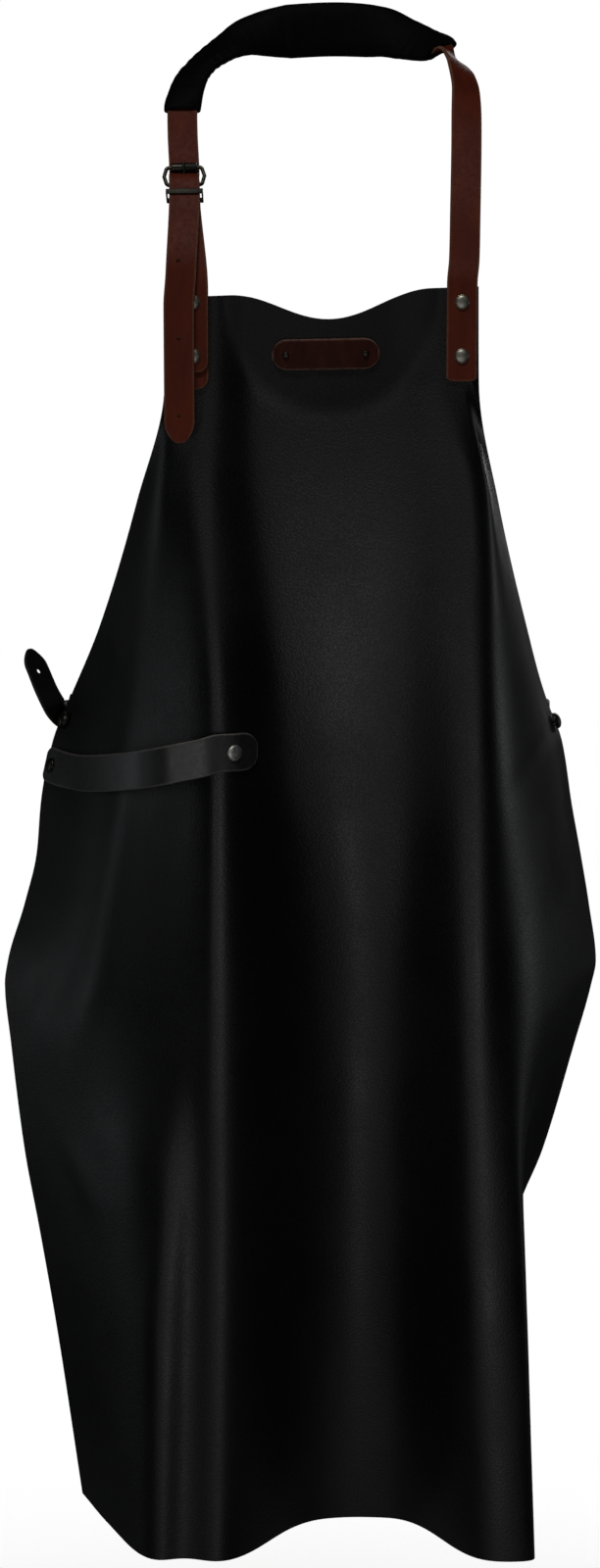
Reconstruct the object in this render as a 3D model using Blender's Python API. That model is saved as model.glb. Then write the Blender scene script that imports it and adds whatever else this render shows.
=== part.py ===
"""Long leather work apron with a buckled neck loop, in the form it has when worn.

Metres, +Z up, the front faces -Y and +X is to the right of someone looking at the front.
The origin is where the neck loop's pad rests on the back of the neck.
"""
from collections import namedtuple
from math import asin, ceil, cos, pi, sin, sqrt

import bmesh
import bpy
from mathutils import Vector
from mathutils.bvhtree import BVHTree

for item in list(bpy.data.objects):
    bpy.data.objects.remove(item, do_unlink=True)

# Overall sizes
BODY_LENGTH = 0.882
HALF_ACROSS = 0.230
BODY_BACK = 0.190
SHOULDER_DROP = 0.162
LOOP_BACK = 0.110
LOOP_HALF = 0.100
WAIST_REACH = 0.300

# Leather and clearances
BODY_LEATHER = 0.0020
STRAP_LEATHER = 0.0024
PAD_WALL = 0.0015
GAP = 0.0004

# Neckline
NECK_SCOOP = 0.018
NECK_SCOOP_HALF = 0.066
SHOULDER_TILT = 0.0035
NECK_LEAN = 0.013
LEAN_HALF = 0.070
LEAN_DEPTH = 0.080
LEAN_CENTRE = 0.006

# Straps
NECK_STRAP_WIDTH = 0.0200
STRAP_END_WIDTH = 0.0245
STRAP_END_DROP = 0.058
STRAP_END_X = 0.0920
BUCKLE_STRAP_X = -0.0840
BACK_LAYER_DROP = 0.063
FRONT_LAYER_DROP = 0.052
TAIL_DROP = 0.098
TAIL_X = -0.0930
TOWEL_STRAP_WIDTH = 0.0258
WAIST_STRAP_WIDTH = 0.0200
END_ROUNDING = 0.0075
PAD_WIDTH = 0.0360
PAD_THICKNESS = 0.0090
PAD_TAPER = 0.31
PAD_NECKING = 0.15

# Buckles
BAR_RADIUS = 0.0013
ROLLER_RADIUS = 0.0031
PRONG_RADIUS = 0.0009
FRAME_LENGTH = 0.0125
SIDE_BULGE = 0.0012
KEEPER_HEIGHT = 0.0035
KEEPER_WALL = 0.0010
KEEPER_DROP = 0.0085

# Rivets, holes and patch
STRAP_RIVET_RADIUS = 0.0048
TOWEL_RIVET_RADIUS = 0.0055
CORNER_RIVET_RADIUS = 0.0062
PATCH_RIVET_RADIUS = 0.0022
RIVET_DOME = 0.0020
CORNER_RIVET_DOME = 0.0045
SHANK_RADIUS = 0.0014
UPPER_RIVET_DROP = 0.0065
LOWER_RIVET_DROP = 0.0415
STRAP_HOLE_RADIUS = 0.0013
WAIST_HOLE_RADIUS = 0.0020
WAIST_HOLE_FROM_TIP = 0.0185
TAIL_HOLES = 3
TAIL_FIRST_HOLE = 0.0200
TAIL_HOLE_PITCH = 0.0500
PATCH_LENGTH = 0.0700
PATCH_WIDTH = 0.0205
PATCH_CENTRE = (0.0030, -0.0400)
PATCH_RIVET_SPREAD = 0.0260
PATCH_LEATHER = 0.0018
PATCH_SEAT = 0.0008
CURVED_SEAT = 0.0009
PATCH_TILT = 0.02

# Where the towel strap and the waist straps are riveted, from the shoulders
TOWEL_RIVET = (-0.0594, -0.305)
TOWEL_SIDE_INSET = 0.016
TOWEL_BELOW_WAIST = 0.032
TOWEL_END_INSET = 0.004
TOWEL_END_REACH = 0.0155
WAIST_DROP = 0.309
CORNER_INSET = 0.010

# The two cut edges down the sheet. Drop is a share of BODY_LENGTH, across of HALF_ACROSS
# and back of BODY_BACK. Steps is how many mesh rows lead to the next line.
EdgeRow = namedtuple("EdgeRow", "drop left left_back right right_back steps")
EDGES = (
    EdgeRow(0.000, -0.446, 0.00, 0.447, 0.00, 4),
    EdgeRow(0.068, -0.449, 0.01, 0.451, 0.01, 3),
    EdgeRow(0.159, -0.542, 0.25, 0.522, 0.21, 3),
    EdgeRow(0.262, -0.673, 0.59, 0.632, 0.59, 3),
    EdgeRow(0.336, -0.799, 0.97, 0.728, 0.97, 1),
    EdgeRow(0.367, -0.848, 0.96, 0.773, 0.95, 2),
    EdgeRow(0.421, -0.889, 0.93, 0.806, 0.91, 1),
    EdgeRow(0.459, -0.900, 0.89, 0.832, 0.87, 1),
    EdgeRow(0.501, -0.938, 0.84, 0.858, 0.82, 2),
    EdgeRow(0.547, -0.990, 0.79, 0.880, 0.79, 1),
    EdgeRow(0.566, -1.000, 0.78, 0.866, 0.78, 1),
    EdgeRow(0.615, -0.982, 0.76, 0.814, 0.76, 3),
    EdgeRow(0.706, -0.941, 0.73, 0.715, 0.74, 2),
    EdgeRow(0.771, -0.896, 0.70, 0.624, 0.74, 2),
    EdgeRow(0.854, -0.843, 0.67, 0.590, 0.74, 3),
    EdgeRow(1.000, -0.765, 0.64, 0.560, 0.74, 0),
)

# The folds between the edges, from left to right, with the same shares at the named levels.
# Steps is how many mesh columns lead to the next line.
Fold = namedtuple("Fold", "name across back steps")
FOLD_LEVELS = {"bib": 0.068, "chest": 0.16, "waist": 0.336, "hip": 0.547, "knee": 0.706, "hem": 1.0}
FOLDS = (
    Fold("left_swell", (-0.417, -0.470, -0.561, -0.687, -0.743, -0.652),
         (0.000, 0.084, 0.326, 0.337, 0.395, 0.316), 3),
    Fold("side_fold", (-0.383, -0.404, -0.417, -0.439, -0.452, -0.500),
         (0.000, 0.032, 0.116, 0.105, 0.032, 0.011), 2),
    Fold("side_groove", (-0.348, -0.365, -0.357, -0.365, -0.383, -0.413),
         (0.000, 0.010, 0.042, 0.042, 0.047, 0.047), 2),
    Fold("left_ridge", (-0.304, -0.326, -0.300, -0.304, -0.304, -0.313),
         (0.000, 0.000, 0.000, 0.000, 0.000, 0.000), 5),
    Fold("left_foot", (-0.196, -0.174, -0.109, -0.017, -0.009, -0.013),
         (0.042, 0.058, 0.116, 0.195, 0.254, 0.392), 3),
    Fold("valley", (0.000, 0.017, 0.052, 0.104, 0.113, 0.117),
         (0.047, 0.068, 0.137, 0.221, 0.290, 0.416), 3),
    Fold("right_foot", (0.191, 0.200, 0.217, 0.226, 0.235, 0.248),
         (0.042, 0.058, 0.116, 0.195, 0.254, 0.402), 5),
    Fold("right_ridge", (0.339, 0.426, 0.461, 0.470, 0.487, 0.526),
         (0.000, 0.000, 0.000, 0.000, 0.000, 0.000), 2),
    Fold("front_fold", (0.400, 0.483, 0.517, 0.565, 0.613, 0.670),
         (0.000, 0.016, 0.026, 0.032, 0.026, 0.016), 4),
    Fold("right_flank", (0.430, 0.504, 0.665, 0.752, 0.615, 0.610),
         (0.000, 0.116, 0.489, 0.389, 0.379, 0.379), 3),
)
LEFT_EDGE_STEPS = 4

# The neck strap from its riveted end to the tip of its tail. Across is a share of LOOP_HALF,
# back of LOOP_BACK and rise of SHOULDER_DROP. Lean is the direction of the strap's width.
Station = namedtuple("Station", "across back rise lean")
LOOP = (
    Station(0.934, 0.025, 0.13, (1.00, 0.00, 0.00)),
    Station(0.943, 0.110, 0.33, (1.00, 0.00, 0.00)),
    Station(0.960, 0.345, 0.66, (1.00, 0.05, 0.00)),
    Station(0.965, 0.510, 0.81, (0.90, 0.43, 0.00)),
    Station(0.945, 0.620, 0.89, (0.75, 0.66, 0.00)),
    Station(0.920, 0.690, 0.930, (0.50, 0.86, 0.00)),
    Station(0.875, 0.750, 0.965, (0.10, 0.99, 0.10)),
    Station(0.820, 0.800, 1.000, (0.00, 0.92, 0.40)),
    Station(0.740, 0.850, 1.010, (0.00, 0.80, 0.60)),
    Station(0.570, 0.930, 1.045, (0.00, 0.55, 0.83)),
    Station(0.400, 0.970, 1.077, (0.00, 0.25, 0.97)),
    Station(0.100, 1.000, 1.089, (0.00, 0.00, 1.00)),
    Station(-0.200, 0.985, 1.080, (0.00, 0.06, 1.00)),
    Station(-0.450, 0.930, 1.058, (-0.05, 0.50, 0.86)),
    Station(-0.640, 0.850, 1.004, (-0.28, 0.80, 0.52)),
    Station(-0.780, 0.780, 0.942, (-0.46, 0.82, 0.32)),
    Station(-0.868, 0.700, 0.875, (-0.70, 0.68, 0.18)),
    Station(-0.905, 0.610, 0.810, (-0.90, 0.42, 0.05)),
    Station(-0.925, 0.545, 0.735, (-1.00, 0.03, 0.00)),
    Station(-0.920, 0.450, 0.64, (-1.00, 0.00, 0.00)),
)
# The pad covers the loop between these two of its stations.
PAD_FIRST = 7
PAD_LAST = 18

# Neck buckle: its heel bar from the shoulders, and the way the buckle strap reaches it.
HEEL_AT = (-0.0900, 0.024, 0.0695)
HEEL_LEAN = (-0.035, 0.45, 1.0)

# Waist buckle: its heel bar from the sheet's left corner, and the tail past it from the heel bar.
WAIST_HEEL = (0.005, 0.026, 0.0)
WAIST_HEEL_LEAN = (0.05, 1.0, 0.0)
WAIST_TAIL = (
    ((-0.0100, -0.0100, 0.0060), (0.35, 0.45, 0.80)),
    ((-0.0160, -0.0120, 0.0180), (0.55, 0.70, 0.45)),
    ((-0.0230, -0.0080, 0.0340), (0.60, 0.75, 0.25)),
    ((-0.0300, -0.0020, 0.0490), (0.60, 0.75, 0.20)),
)

# The waist strap behind the wearer: across as a share of HALF_ACROSS, back of WAIST_REACH.
WAIST_ROUTE = (
    (0.740, 0.720), (0.680, 0.830), (0.520, 0.930), (0.280, 0.985), (0.000, 1.000),
    (-0.300, 0.985), (-0.550, 0.930), (-0.700, 0.855),
)

# The towel strap where it stands clear of the sheet. Across and back are shares as in the folds,
# and the third number is the share of the way down from its front rivet to its side one.
TOWEL_ROUTE = (
    (-0.350, -0.020, 0.090), (-0.430, -0.012, 0.200), (-0.520, 0.055, 0.360), (-0.620, 0.215, 0.560),
    (-0.715, 0.450, 0.780), (-0.765, 0.630, 0.900),
)


def place(across, back, rise):
    """A point given from the middle of the shoulders, in the apron's own frame."""
    return Vector((across, back - LOOP_BACK, rise - SHOULDER_DROP))


def monotone(knots, values, at):
    """Cubic through the values that never passes beyond two neighbours."""
    last = len(knots) - 1
    if at <= knots[0]:
        return values[0]
    if at >= knots[last]:
        return values[last]
    steps = [knots[i + 1] - knots[i] for i in range(last)]
    rises = [(values[i + 1] - values[i]) / steps[i] for i in range(last)]
    slopes = [rises[0]]
    for i in range(1, last):
        before, after = rises[i - 1], rises[i]
        if before * after <= 0.0:
            slopes.append(0.0)
        else:
            heavy = 2 * steps[i] + steps[i - 1]
            light = steps[i] + 2 * steps[i - 1]
            slopes.append((heavy + light) / (heavy / before + light / after))
    slopes.append(rises[-1])
    i = max(k for k in range(last) if knots[k] <= at)
    t = (at - knots[i]) / steps[i]
    return (
        values[i] * (1 + 2 * t) * (1 - t) ** 2
        + slopes[i] * steps[i] * t * (1 - t) ** 2
        + values[i + 1] * t * t * (3 - 2 * t)
        + slopes[i + 1] * steps[i] * t * t * (t - 1)
    )


class Curve:
    """A smooth line through points, read by the share of its chord length."""

    def __init__(self, points):
        self.points = [Vector(p) for p in points]
        travelled = [0.0]
        for a, b in zip(self.points, self.points[1:]):
            travelled.append(travelled[-1] + max((b - a).length, 1e-6))
        self.length = travelled[-1]
        self.knots = [t / self.length for t in travelled]

    def at(self, share):
        return Vector(monotone(self.knots, [p[k] for p in self.points], share) for k in range(3))


def material(name, colour, roughness, metallic=0.0):
    made = bpy.data.materials.new(name)
    made.use_nodes = True
    shader = made.node_tree.nodes["Principled BSDF"]
    shader.inputs["Base Color"].default_value = (*colour, 1.0)
    shader.inputs["Roughness"].default_value = roughness
    shader.inputs["Metallic"].default_value = metallic
    return made


def solid(name, points, faces, finish, smooth=True):
    """Make one closed object out of points and faces, with its faces turned outwards."""
    mesh = bpy.data.meshes.new(name)
    mesh.from_pydata([tuple(p) for p in points], [], faces)
    work = bmesh.new()
    work.from_mesh(mesh)
    bmesh.ops.recalc_face_normals(work, faces=work.faces)
    work.to_mesh(mesh)
    work.free()
    made = bpy.data.objects.new(name, mesh)
    mesh.materials.append(finish)
    bpy.context.collection.objects.link(made)
    if smooth:
        mesh.shade_smooth()
        mesh.set_sharp_from_angle(angle=0.6)
    return made


def rings_to_solid(name, rings, finish, closed=False, smooth=True):
    """Join equal rings of points into a tube, with filled ends unless it closes on itself."""
    size = len(rings[0])
    points = [p for ring in rings for p in ring]
    faces = []
    spans = len(rings) if closed else len(rings) - 1
    for i in range(spans):
        here = i * size
        there = ((i + 1) % len(rings)) * size
        for k in range(size):
            n = (k + 1) % size
            faces.append((here + k, here + n, there + n, there + k))
    if not closed:
        faces.append(tuple(range(size)))
        faces.append(tuple(range(len(points) - size, len(points))))
    return solid(name, points, faces, finish, smooth)


def frames(centres, leans):
    """Width and face directions along a strap, square to its run."""
    result = []
    for i, centre in enumerate(centres):
        before = centres[max(i - 1, 0)]
        after = centres[min(i + 1, len(centres) - 1)]
        run = (after - before).normalized()
        width = (leans[i] - run * leans[i].dot(run)).normalized()
        result.append((centre, width, width.cross(run).normalized()))
    return result


def band(name, centres, leans, halves, thickness, finish):
    """A flat strap along centres, with its own half width at each."""
    rings = []
    for (centre, width, face), half in zip(frames(centres, leans), halves):
        out = face * thickness / 2
        side = width * half
        rings.append([centre - side - out, centre + side - out, centre + side + out, centre - side + out])
    return rings_to_solid(name, rings, finish, smooth=False)


def end_profile(distance, half, rounding):
    """Half width of a strap this far from its end, when the end's corners are rounded."""
    if distance >= rounding:
        return half
    rest = rounding - distance
    return half - rounding + sqrt(max(rounding * rounding - rest * rest, 0.0))


def pipe(name, centres, radius, finish, sides=8, closed=False):
    """A round bar along centres, with frames carried from one to the next."""
    count = len(centres)
    rings = []
    side = None
    for i, centre in enumerate(centres):
        before = centres[(i - 1) % count] if closed else centres[max(i - 1, 0)]
        after = centres[(i + 1) % count] if closed else centres[min(i + 1, count - 1)]
        run = (after - before).normalized()
        if side is None:
            side = run.orthogonal()
        side = (side - run * side.dot(run)).normalized()
        other = run.cross(side)
        turn = [2 * pi * k / sides for k in range(sides)]
        rings.append([centre + side * radius * cos(a) + other * radius * sin(a) for a in turn])
    return rings_to_solid(name, rings, finish, closed)


def turned(name, profile, base, axis, finish, sides=11):
    """Turn a profile of (radius, height) about an axis that starts at base."""
    axis = axis.normalized()
    side = axis.orthogonal().normalized()
    other = axis.cross(side)
    points = [base + axis * profile[0][1]]
    for radius, height in profile[1:-1]:
        for k in range(sides):
            a = 2 * pi * k / sides
            points.append(base + axis * height + side * radius * cos(a) + other * radius * sin(a))
    points.append(base + axis * profile[-1][1])
    rows = len(profile) - 2
    faces = [(0, 1 + k, 1 + (k + 1) % sides) for k in range(sides)]
    for row in range(rows - 1):
        for k in range(sides):
            n = (k + 1) % sides
            a = 1 + row * sides
            faces.append((a + k, a + n, a + sides + n, a + sides + k))
    last = 1 + (rows - 1) * sides
    faces += [(len(points) - 1, last + (k + 1) % sides, last + k) for k in range(sides)]
    return solid(name, points, faces, finish)


def cutter(name, centre, axis, radius, length):
    """A hidden round bar that cuts a hole."""
    axis = axis.normalized()
    profile = [(0.0, length / 2), (radius, length / 2), (radius, -length / 2), (0.0, -length / 2)]
    made = turned(name, profile, centre, axis, HIDDEN)
    made.hide_render = True
    made.display_type = "WIRE"
    return made


def cut(target, tool):
    step = target.modifiers.new("cut " + tool.name, "BOOLEAN")
    step.operation = "DIFFERENCE"
    step.solver = "EXACT"
    step.object = tool


BLACK_LEATHER = material("black grained leather", (0.012, 0.012, 0.013), 0.48)
STRAP_BLACK = material("black strap leather", (0.010, 0.010, 0.011), 0.32)
BROWN_LEATHER = material("brown bridle leather", (0.085, 0.022, 0.013), 0.42)
METAL = material("aged nickel", (0.33, 0.31, 0.28), 0.35, 1.0)
DARK_METAL = material("dark bronze", (0.10, 0.09, 0.08), 0.38, 1.0)
HIDDEN = material("cutting shapes", (0.5, 0.5, 0.5), 0.5)


def neckline(x):
    """How far the top edge of the bib lies above or below the shoulders."""
    reach = abs(x - LEAN_CENTRE) / NECK_SCOOP_HALF
    scoop = 0.5 + 0.5 * cos(pi * reach) if reach < 1.0 else 0.0
    return SHOULDER_TILT * x / LOOP_HALF - NECK_SCOOP * scoop


def neck_lean(x, drop):
    """How far the middle of the neckline tips forward out of the bib."""
    ring = ((x - LEAN_CENTRE) / LEAN_HALF) ** 2 + (drop / LEAN_DEPTH) ** 2
    return NECK_LEAN * max(0.0, 1.0 - ring)


def section_points(drop):
    """The fold lines that the sheet passes through at one height, from edge to edge."""
    rows = [row.drop for row in EDGES]
    levels = list(FOLD_LEVELS.values())
    edge = {
        field: monotone(rows, [getattr(row, field) for row in EDGES], drop)
        for field in ("left", "left_back", "right", "right_back")
    }
    line = [(edge["left"], edge["left_back"])]
    for fold in FOLDS:
        line.append((monotone(levels, fold.across, drop), monotone(levels, fold.back, drop)))
    line.append((edge["right"], edge["right_back"]))
    return [(across * HALF_ACROSS, back * BODY_BACK, 0.0) for across, back in line]


def row_drops():
    drops = []
    for row, following in zip(EDGES, EDGES[1:]):
        for step in range(row.steps):
            drops.append(row.drop + (following.drop - row.drop) * step / row.steps)
    return drops + [EDGES[-1].drop]


def body_surface():
    """Grid of the sheet's front face, a list of rows from the neckline to the hem."""
    counts = [LEFT_EDGE_STEPS] + [fold.steps for fold in FOLDS]
    grid = []
    for drop in row_drops():
        curve = Curve(section_points(drop))
        shares = []
        for i, count in enumerate(counts):
            shares += [curve.knots[i] + (curve.knots[i + 1] - curve.knots[i]) * k / count for k in range(count)]
        shares.append(1.0)
        fade = max(0.0, 1.0 - drop * BODY_LENGTH / 0.12) ** 2
        row = []
        for share in shares:
            flat = curve.at(share)
            rise = neckline(flat.x) * fade - drop * BODY_LENGTH
            row.append(place(flat.x, flat.y - neck_lean(flat.x, -rise), rise))
        grid.append(row)
    return grid


def apron_body():
    grid = body_surface()
    columns = len(grid[0])
    points = [p for row in grid for p in row]
    faces = []
    for r in range(len(grid) - 1):
        for c in range(columns - 1):
            a = r * columns + c
            faces.append((a, a + columns, a + columns + 1, a + 1))
    mesh = bpy.data.meshes.new("apron_body")
    mesh.from_pydata([tuple(p) for p in points], [], faces)
    mesh.materials.append(BLACK_LEATHER)
    body = bpy.data.objects.new("apron_body", mesh)
    bpy.context.collection.objects.link(body)
    mesh.shade_smooth()
    wall = body.modifiers.new("leather", "SOLIDIFY")
    wall.thickness = BODY_LEATHER
    wall.offset = -1.0
    wall.use_rim = True
    return body, BVHTree.FromPolygons(points, faces), grid


body, outer_face, body_grid = apron_body()


def on_body(across, rise):
    """Point and outward direction of the sheet's front face, seen from the front."""
    start = place(across, -1.0, rise)
    point, normal, _, _ = outer_face.ray_cast(start, Vector((0, 1, 0)))
    if normal.y > 0:
        normal = -normal
    return point, normal


def rivet(name, seat, normal, radius, dome, front_stack, back_stack, finish):
    """A domed rivet through a stack of leather. Seat is on the sheet's front face."""
    head = front_stack + GAP
    tail = -back_stack - GAP
    profile = [
        (0.0, head + dome),
        (radius * 0.55, head + dome * 0.84),
        (radius * 0.88, head + dome * 0.48),
        (radius, head),
        (SHANK_RADIUS, head),
        (SHANK_RADIUS, tail),
        (radius * 0.85, tail),
        (radius * 0.80, tail - dome * 0.45),
        (0.0, tail - dome * 0.45),
    ]
    turned(name, profile, seat, normal, finish)
    return cutter(name + "_hole", seat, normal, SHANK_RADIUS + GAP, 0.03)


BIB_STATIONS = 3
HEEL_CLEAR = BAR_RADIUS + 3 * GAP + 1.5 * STRAP_LEATHER


def through_buckle(heel, up, face, far_radius):
    """The strap's way behind the far bar, across, and over the fold on the heel bar."""
    far_clear = far_radius + GAP + STRAP_LEATHER / 2
    slant = asin((far_clear + HEEL_CLEAR) / FRAME_LENGTH) if far_clear + HEEL_CLEAR < FRAME_LENGTH else pi / 2
    far = heel + up * FRAME_LENGTH
    points = []
    for share in (0.0, 0.5, 1.0):
        a = slant * share
        points.append(far - face * far_clear * cos(a) - up * far_clear * sin(a))
    for share in (1.0, 0.5, 0.0):
        a = slant * share
        points.append(heel + face * HEEL_CLEAR * cos(a) + up * HEEL_CLEAR * sin(a))
    return points


def neck_path():
    """Centres and width directions of the neck strap from its riveted end to its tip."""
    flat = -(GAP + STRAP_LEATHER / 2)
    out = Vector((0, -1, 0))
    points = [place(STRAP_END_X, flat, -STRAP_END_DROP), place(STRAP_END_X, flat, -STRAP_END_DROP * 0.4)]
    points.append(place(STRAP_END_X, flat, neckline(STRAP_END_X) + 0.002))
    leans = [Vector((1, 0, 0))] * 3
    for station in LOOP:
        points.append(place(station.across * LOOP_HALF, station.back * LOOP_BACK, station.rise * SHOULDER_DROP))
        leans.append(Vector(station.lean))
    heel, up, face = buckle_frame_axes()
    passed = through_buckle(heel, up, face, ROLLER_RADIUS)
    points += passed
    points.append(heel - up * 0.009 + face * HEEL_CLEAR)
    stack = 3 * GAP + 2.5 * STRAP_LEATHER + RIVET_DOME + GAP
    points.append(place(0.5 * (TAIL_X + HEEL_AT[0]), -stack * 0.9, 0.012))
    points.append(place(TAIL_X, -stack, -0.010))
    points.append(place(TAIL_X, -stack, -TAIL_DROP * 0.5))
    points.append(place(TAIL_X, -stack, -TAIL_DROP))
    leans += [Vector((-1, 0, 0))] * (len(passed) + 5)
    return points, leans


def buckle_frame_axes():
    """Heel bar's middle, the way up the strap and the way out of its face."""
    up = Vector(HEEL_LEAN).normalized()
    across = Vector((1, 0, 0))
    across = (across - up * across.dot(up)).normalized()
    return place(*HEEL_AT), up, across.cross(up).normalized()


def spaced(length, rounding, pitch, tip, knots=()):
    """Shares along a strap that meet its knots, closer together where its ends are rounded."""
    shares = [rounding * (1 - cos(pi / 2 * k / 4)) / length for k in range(4)]
    inner = [k for k in knots if rounding + 0.0015 < k * length < length - tip - 0.0015]
    stops = [rounding / length] + inner + [1 - tip / length]
    for a, b in zip(stops, stops[1:]):
        parts = ceil((b - a) * length / pitch)
        shares += [a + (b - a) * k / parts for k in range(parts)]
    return shares + [1 - tip * (1 - sin(pi / 2 * k / 5)) / length for k in range(6)]


def strap_along(name, points, leans, width_at, finish, rounding, pitch, tip):
    """A strap on a smooth path, with rounded ends. Gives the object, its path and its rings."""
    path = Curve(points)
    shares = spaced(path.length, rounding, pitch, tip, path.knots)
    centres = [path.at(s) for s in shares]
    turns = [Vector(monotone(path.knots, [lean[k] for lean in leans], s) for k in range(3)) for s in shares]
    halves = [width_at(s * path.length, path.length) for s in shares]
    made = band(name, centres, turns, halves, STRAP_LEATHER, finish)
    return made, path, list(zip(shares, frames(centres, turns)))


def neck_strap():
    points, leans = neck_path()

    def half(along, length):
        narrow = NECK_STRAP_WIDTH / 2
        wide = STRAP_END_WIDTH / 2
        blend = min(1.0, max(0.0, (STRAP_END_DROP + 0.006 - along) / 0.02))
        plain = narrow + (wide - narrow) * blend
        tip = length - along
        pointed = narrow * min(1.0, 0.12 + 0.88 * sin(pi / 2 * min(1.0, tip / 0.014)) ** 0.6)
        return min(end_profile(along, plain, END_ROUNDING), pointed)

    return strap_along("neck_strap", points, leans, half, BROWN_LEATHER, END_ROUNDING, 0.012, 0.016)


def neck_pad(path, rings):
    """Soft sleeve around the strap where it crosses the back of the neck."""
    first = path.knots[BIB_STATIONS + PAD_FIRST]
    last = path.knots[BIB_STATIONS + PAD_LAST]
    outer, inner = [], []
    for share, (centre, width, face) in rings:
        if first - 1e-9 <= share <= last + 1e-9:
            half = PAD_WIDTH / 2 * pad_fullness((share - first) / (last - first))
            outer.append(flat_oval(centre, width, face, half, PAD_THICKNESS / 2))
            inner.append(flat_oval(centre, width, face, half - PAD_WALL, PAD_THICKNESS / 2 - PAD_WALL))
    size = len(outer[0])
    points = [p for ring in outer for p in ring] + [p for ring in inner for p in ring]
    inside = len(outer) * size
    faces = []
    for i in range(len(outer) - 1):
        for k in range(size):
            n = (k + 1) % size
            a, b = i * size, (i + 1) * size
            faces.append((a + k, a + n, b + n, b + k))
            faces.append((inside + a + k, inside + b + k, inside + b + n, inside + a + n))
    for a in (0, (len(outer) - 1) * size):
        for k in range(size):
            n = (k + 1) % size
            faces.append((a + k, inside + a + k, inside + a + n, a + n))
    return solid("neck_pad", points, faces, BLACK_LEATHER)


def pad_fullness(share):
    """The pad is widest behind the neck and narrower towards its ends, most at the lower one."""
    return 1.0 - PAD_TAPER * max(0.0, (share - 0.5) / 0.5) ** 0.7 - PAD_NECKING * max(0.0, (0.25 - share) / 0.25)


def flat_oval(centre, width, face, half, thin):
    """Ring with straight faces and round sides."""
    straight = half - thin
    ring = []
    for side in (1, -1):
        for k in range(4):
            a = -pi / 2 + pi * k / 3
            ring.append(centre + side * (width * (straight + thin * cos(a)) + face * thin * sin(a)))
    return ring


def buckle(prefix, heel, up, face, width, with_roller):
    """A wire frame round a strap, with a prong hooked on its heel bar."""
    across = face.cross(up).normalized()
    half = width / 2 + 2 * GAP + BAR_RADIUS
    corner = BAR_RADIUS * 1.8
    line = []
    for x_side, y_side, start in ((1, 0, -pi / 2), (1, 1, 0.0), (-1, 1, pi / 2), (-1, 0, pi)):
        mid_x = x_side * (half - corner)
        mid_y = FRAME_LENGTH - corner if y_side else corner
        for k in range(4):
            a = start + pi / 2 * k / 3
            line.append((mid_x + corner * cos(a), mid_y + corner * sin(a)))
        if x_side == 1 and y_side == 0:
            line.append((half + SIDE_BULGE, FRAME_LENGTH / 2))
        if x_side == -1 and y_side == 1:
            line.append((-half - SIDE_BULGE, FRAME_LENGTH / 2))
    pipe(prefix + "_frame", [heel + across * x + up * y for x, y in line], BAR_RADIUS, DARK_METAL, 8, True)
    far = BAR_RADIUS
    if with_roller:
        far = ROLLER_RADIUS
        roller(prefix + "_roller", heel + up * FRAME_LENGTH, across, half - 1.8 * BAR_RADIUS - BAR_RADIUS)
    ring = BAR_RADIUS + GAP + PRONG_RADIUS
    hook = [heel + up * ring * cos(a) + face * ring * sin(a) for a in (pi * 0.28 - k * pi / 5 for k in range(8))]
    hook.reverse()
    tip = heel + up * (FRAME_LENGTH + far * 0.8) + face * (far + GAP + PRONG_RADIUS)
    middle = (hook[-1] + tip) / 2
    pipe(prefix + "_prong", hook + [middle, tip], PRONG_RADIUS, DARK_METAL, 6)
    run = (tip - hook[-1])
    through = cutter(prefix + "_prong_hole", hook[-1] + run * 0.5, run, PRONG_RADIUS + 1.5 * GAP, run.length * 1.5)
    slot = slot_cutter(prefix + "_slot", heel, up, face, across)
    return through, slot


def slot_cutter(name, heel, up, face, across):
    """Hidden block that opens the folded strap for the prong."""
    half = Vector((PRONG_RADIUS + 1.5 * GAP, 0.0062, 0.0070))
    centre = heel + up * 0.0030
    corners = []
    for x in (-1, 1):
        for y in (-1, 1):
            for z in (-1, 1):
                corners.append(centre + across * half.x * x + up * half.y * y + face * half.z * z)
    faces = [(0, 1, 3, 2), (4, 6, 7, 5), (0, 4, 5, 1), (2, 3, 7, 6), (0, 2, 6, 4), (1, 5, 7, 3)]
    made = solid(name, corners, faces, HIDDEN, smooth=False)
    made.hide_render = True
    made.display_type = "WIRE"
    return made


def roller(name, centre, axis, half):
    """A tube that turns on the buckle's front bar."""
    axis = axis.normalized()
    side = axis.orthogonal().normalized()
    other = axis.cross(side)
    rings = []
    for radius, offset in ((ROLLER_RADIUS, -half), (ROLLER_RADIUS, half),
                           (BAR_RADIUS + GAP, half), (BAR_RADIUS + GAP, -half)):
        turn = [2 * pi * k / 14 for k in range(14)]
        rings.append([centre + axis * offset + side * radius * cos(a) + other * radius * sin(a) for a in turn])
    return rings_to_solid(name, rings, DARK_METAL, closed=True)


def folded_strap(name, back_line, heel, up, face, front_line, leans, half, finish, cutters):
    """A strap that comes up behind a heel bar, folds over it and comes down in front."""
    turn = BAR_RADIUS + GAP + STRAP_LEATHER / 2
    points = list(back_line)
    for k in range(7):
        a = pi - pi * k / 6
        points.append(heel + face * turn * cos(a) + up * turn * sin(a))
    points += front_line

    def width_at(along, length):
        return min(end_profile(along, half, END_ROUNDING), end_profile(length - along, half, END_ROUNDING))

    made, _, _ = strap_along(name, points, leans, width_at, finish, END_ROUNDING, 0.012, END_ROUNDING)
    for tool in cutters:
        cut(made, tool)


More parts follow.
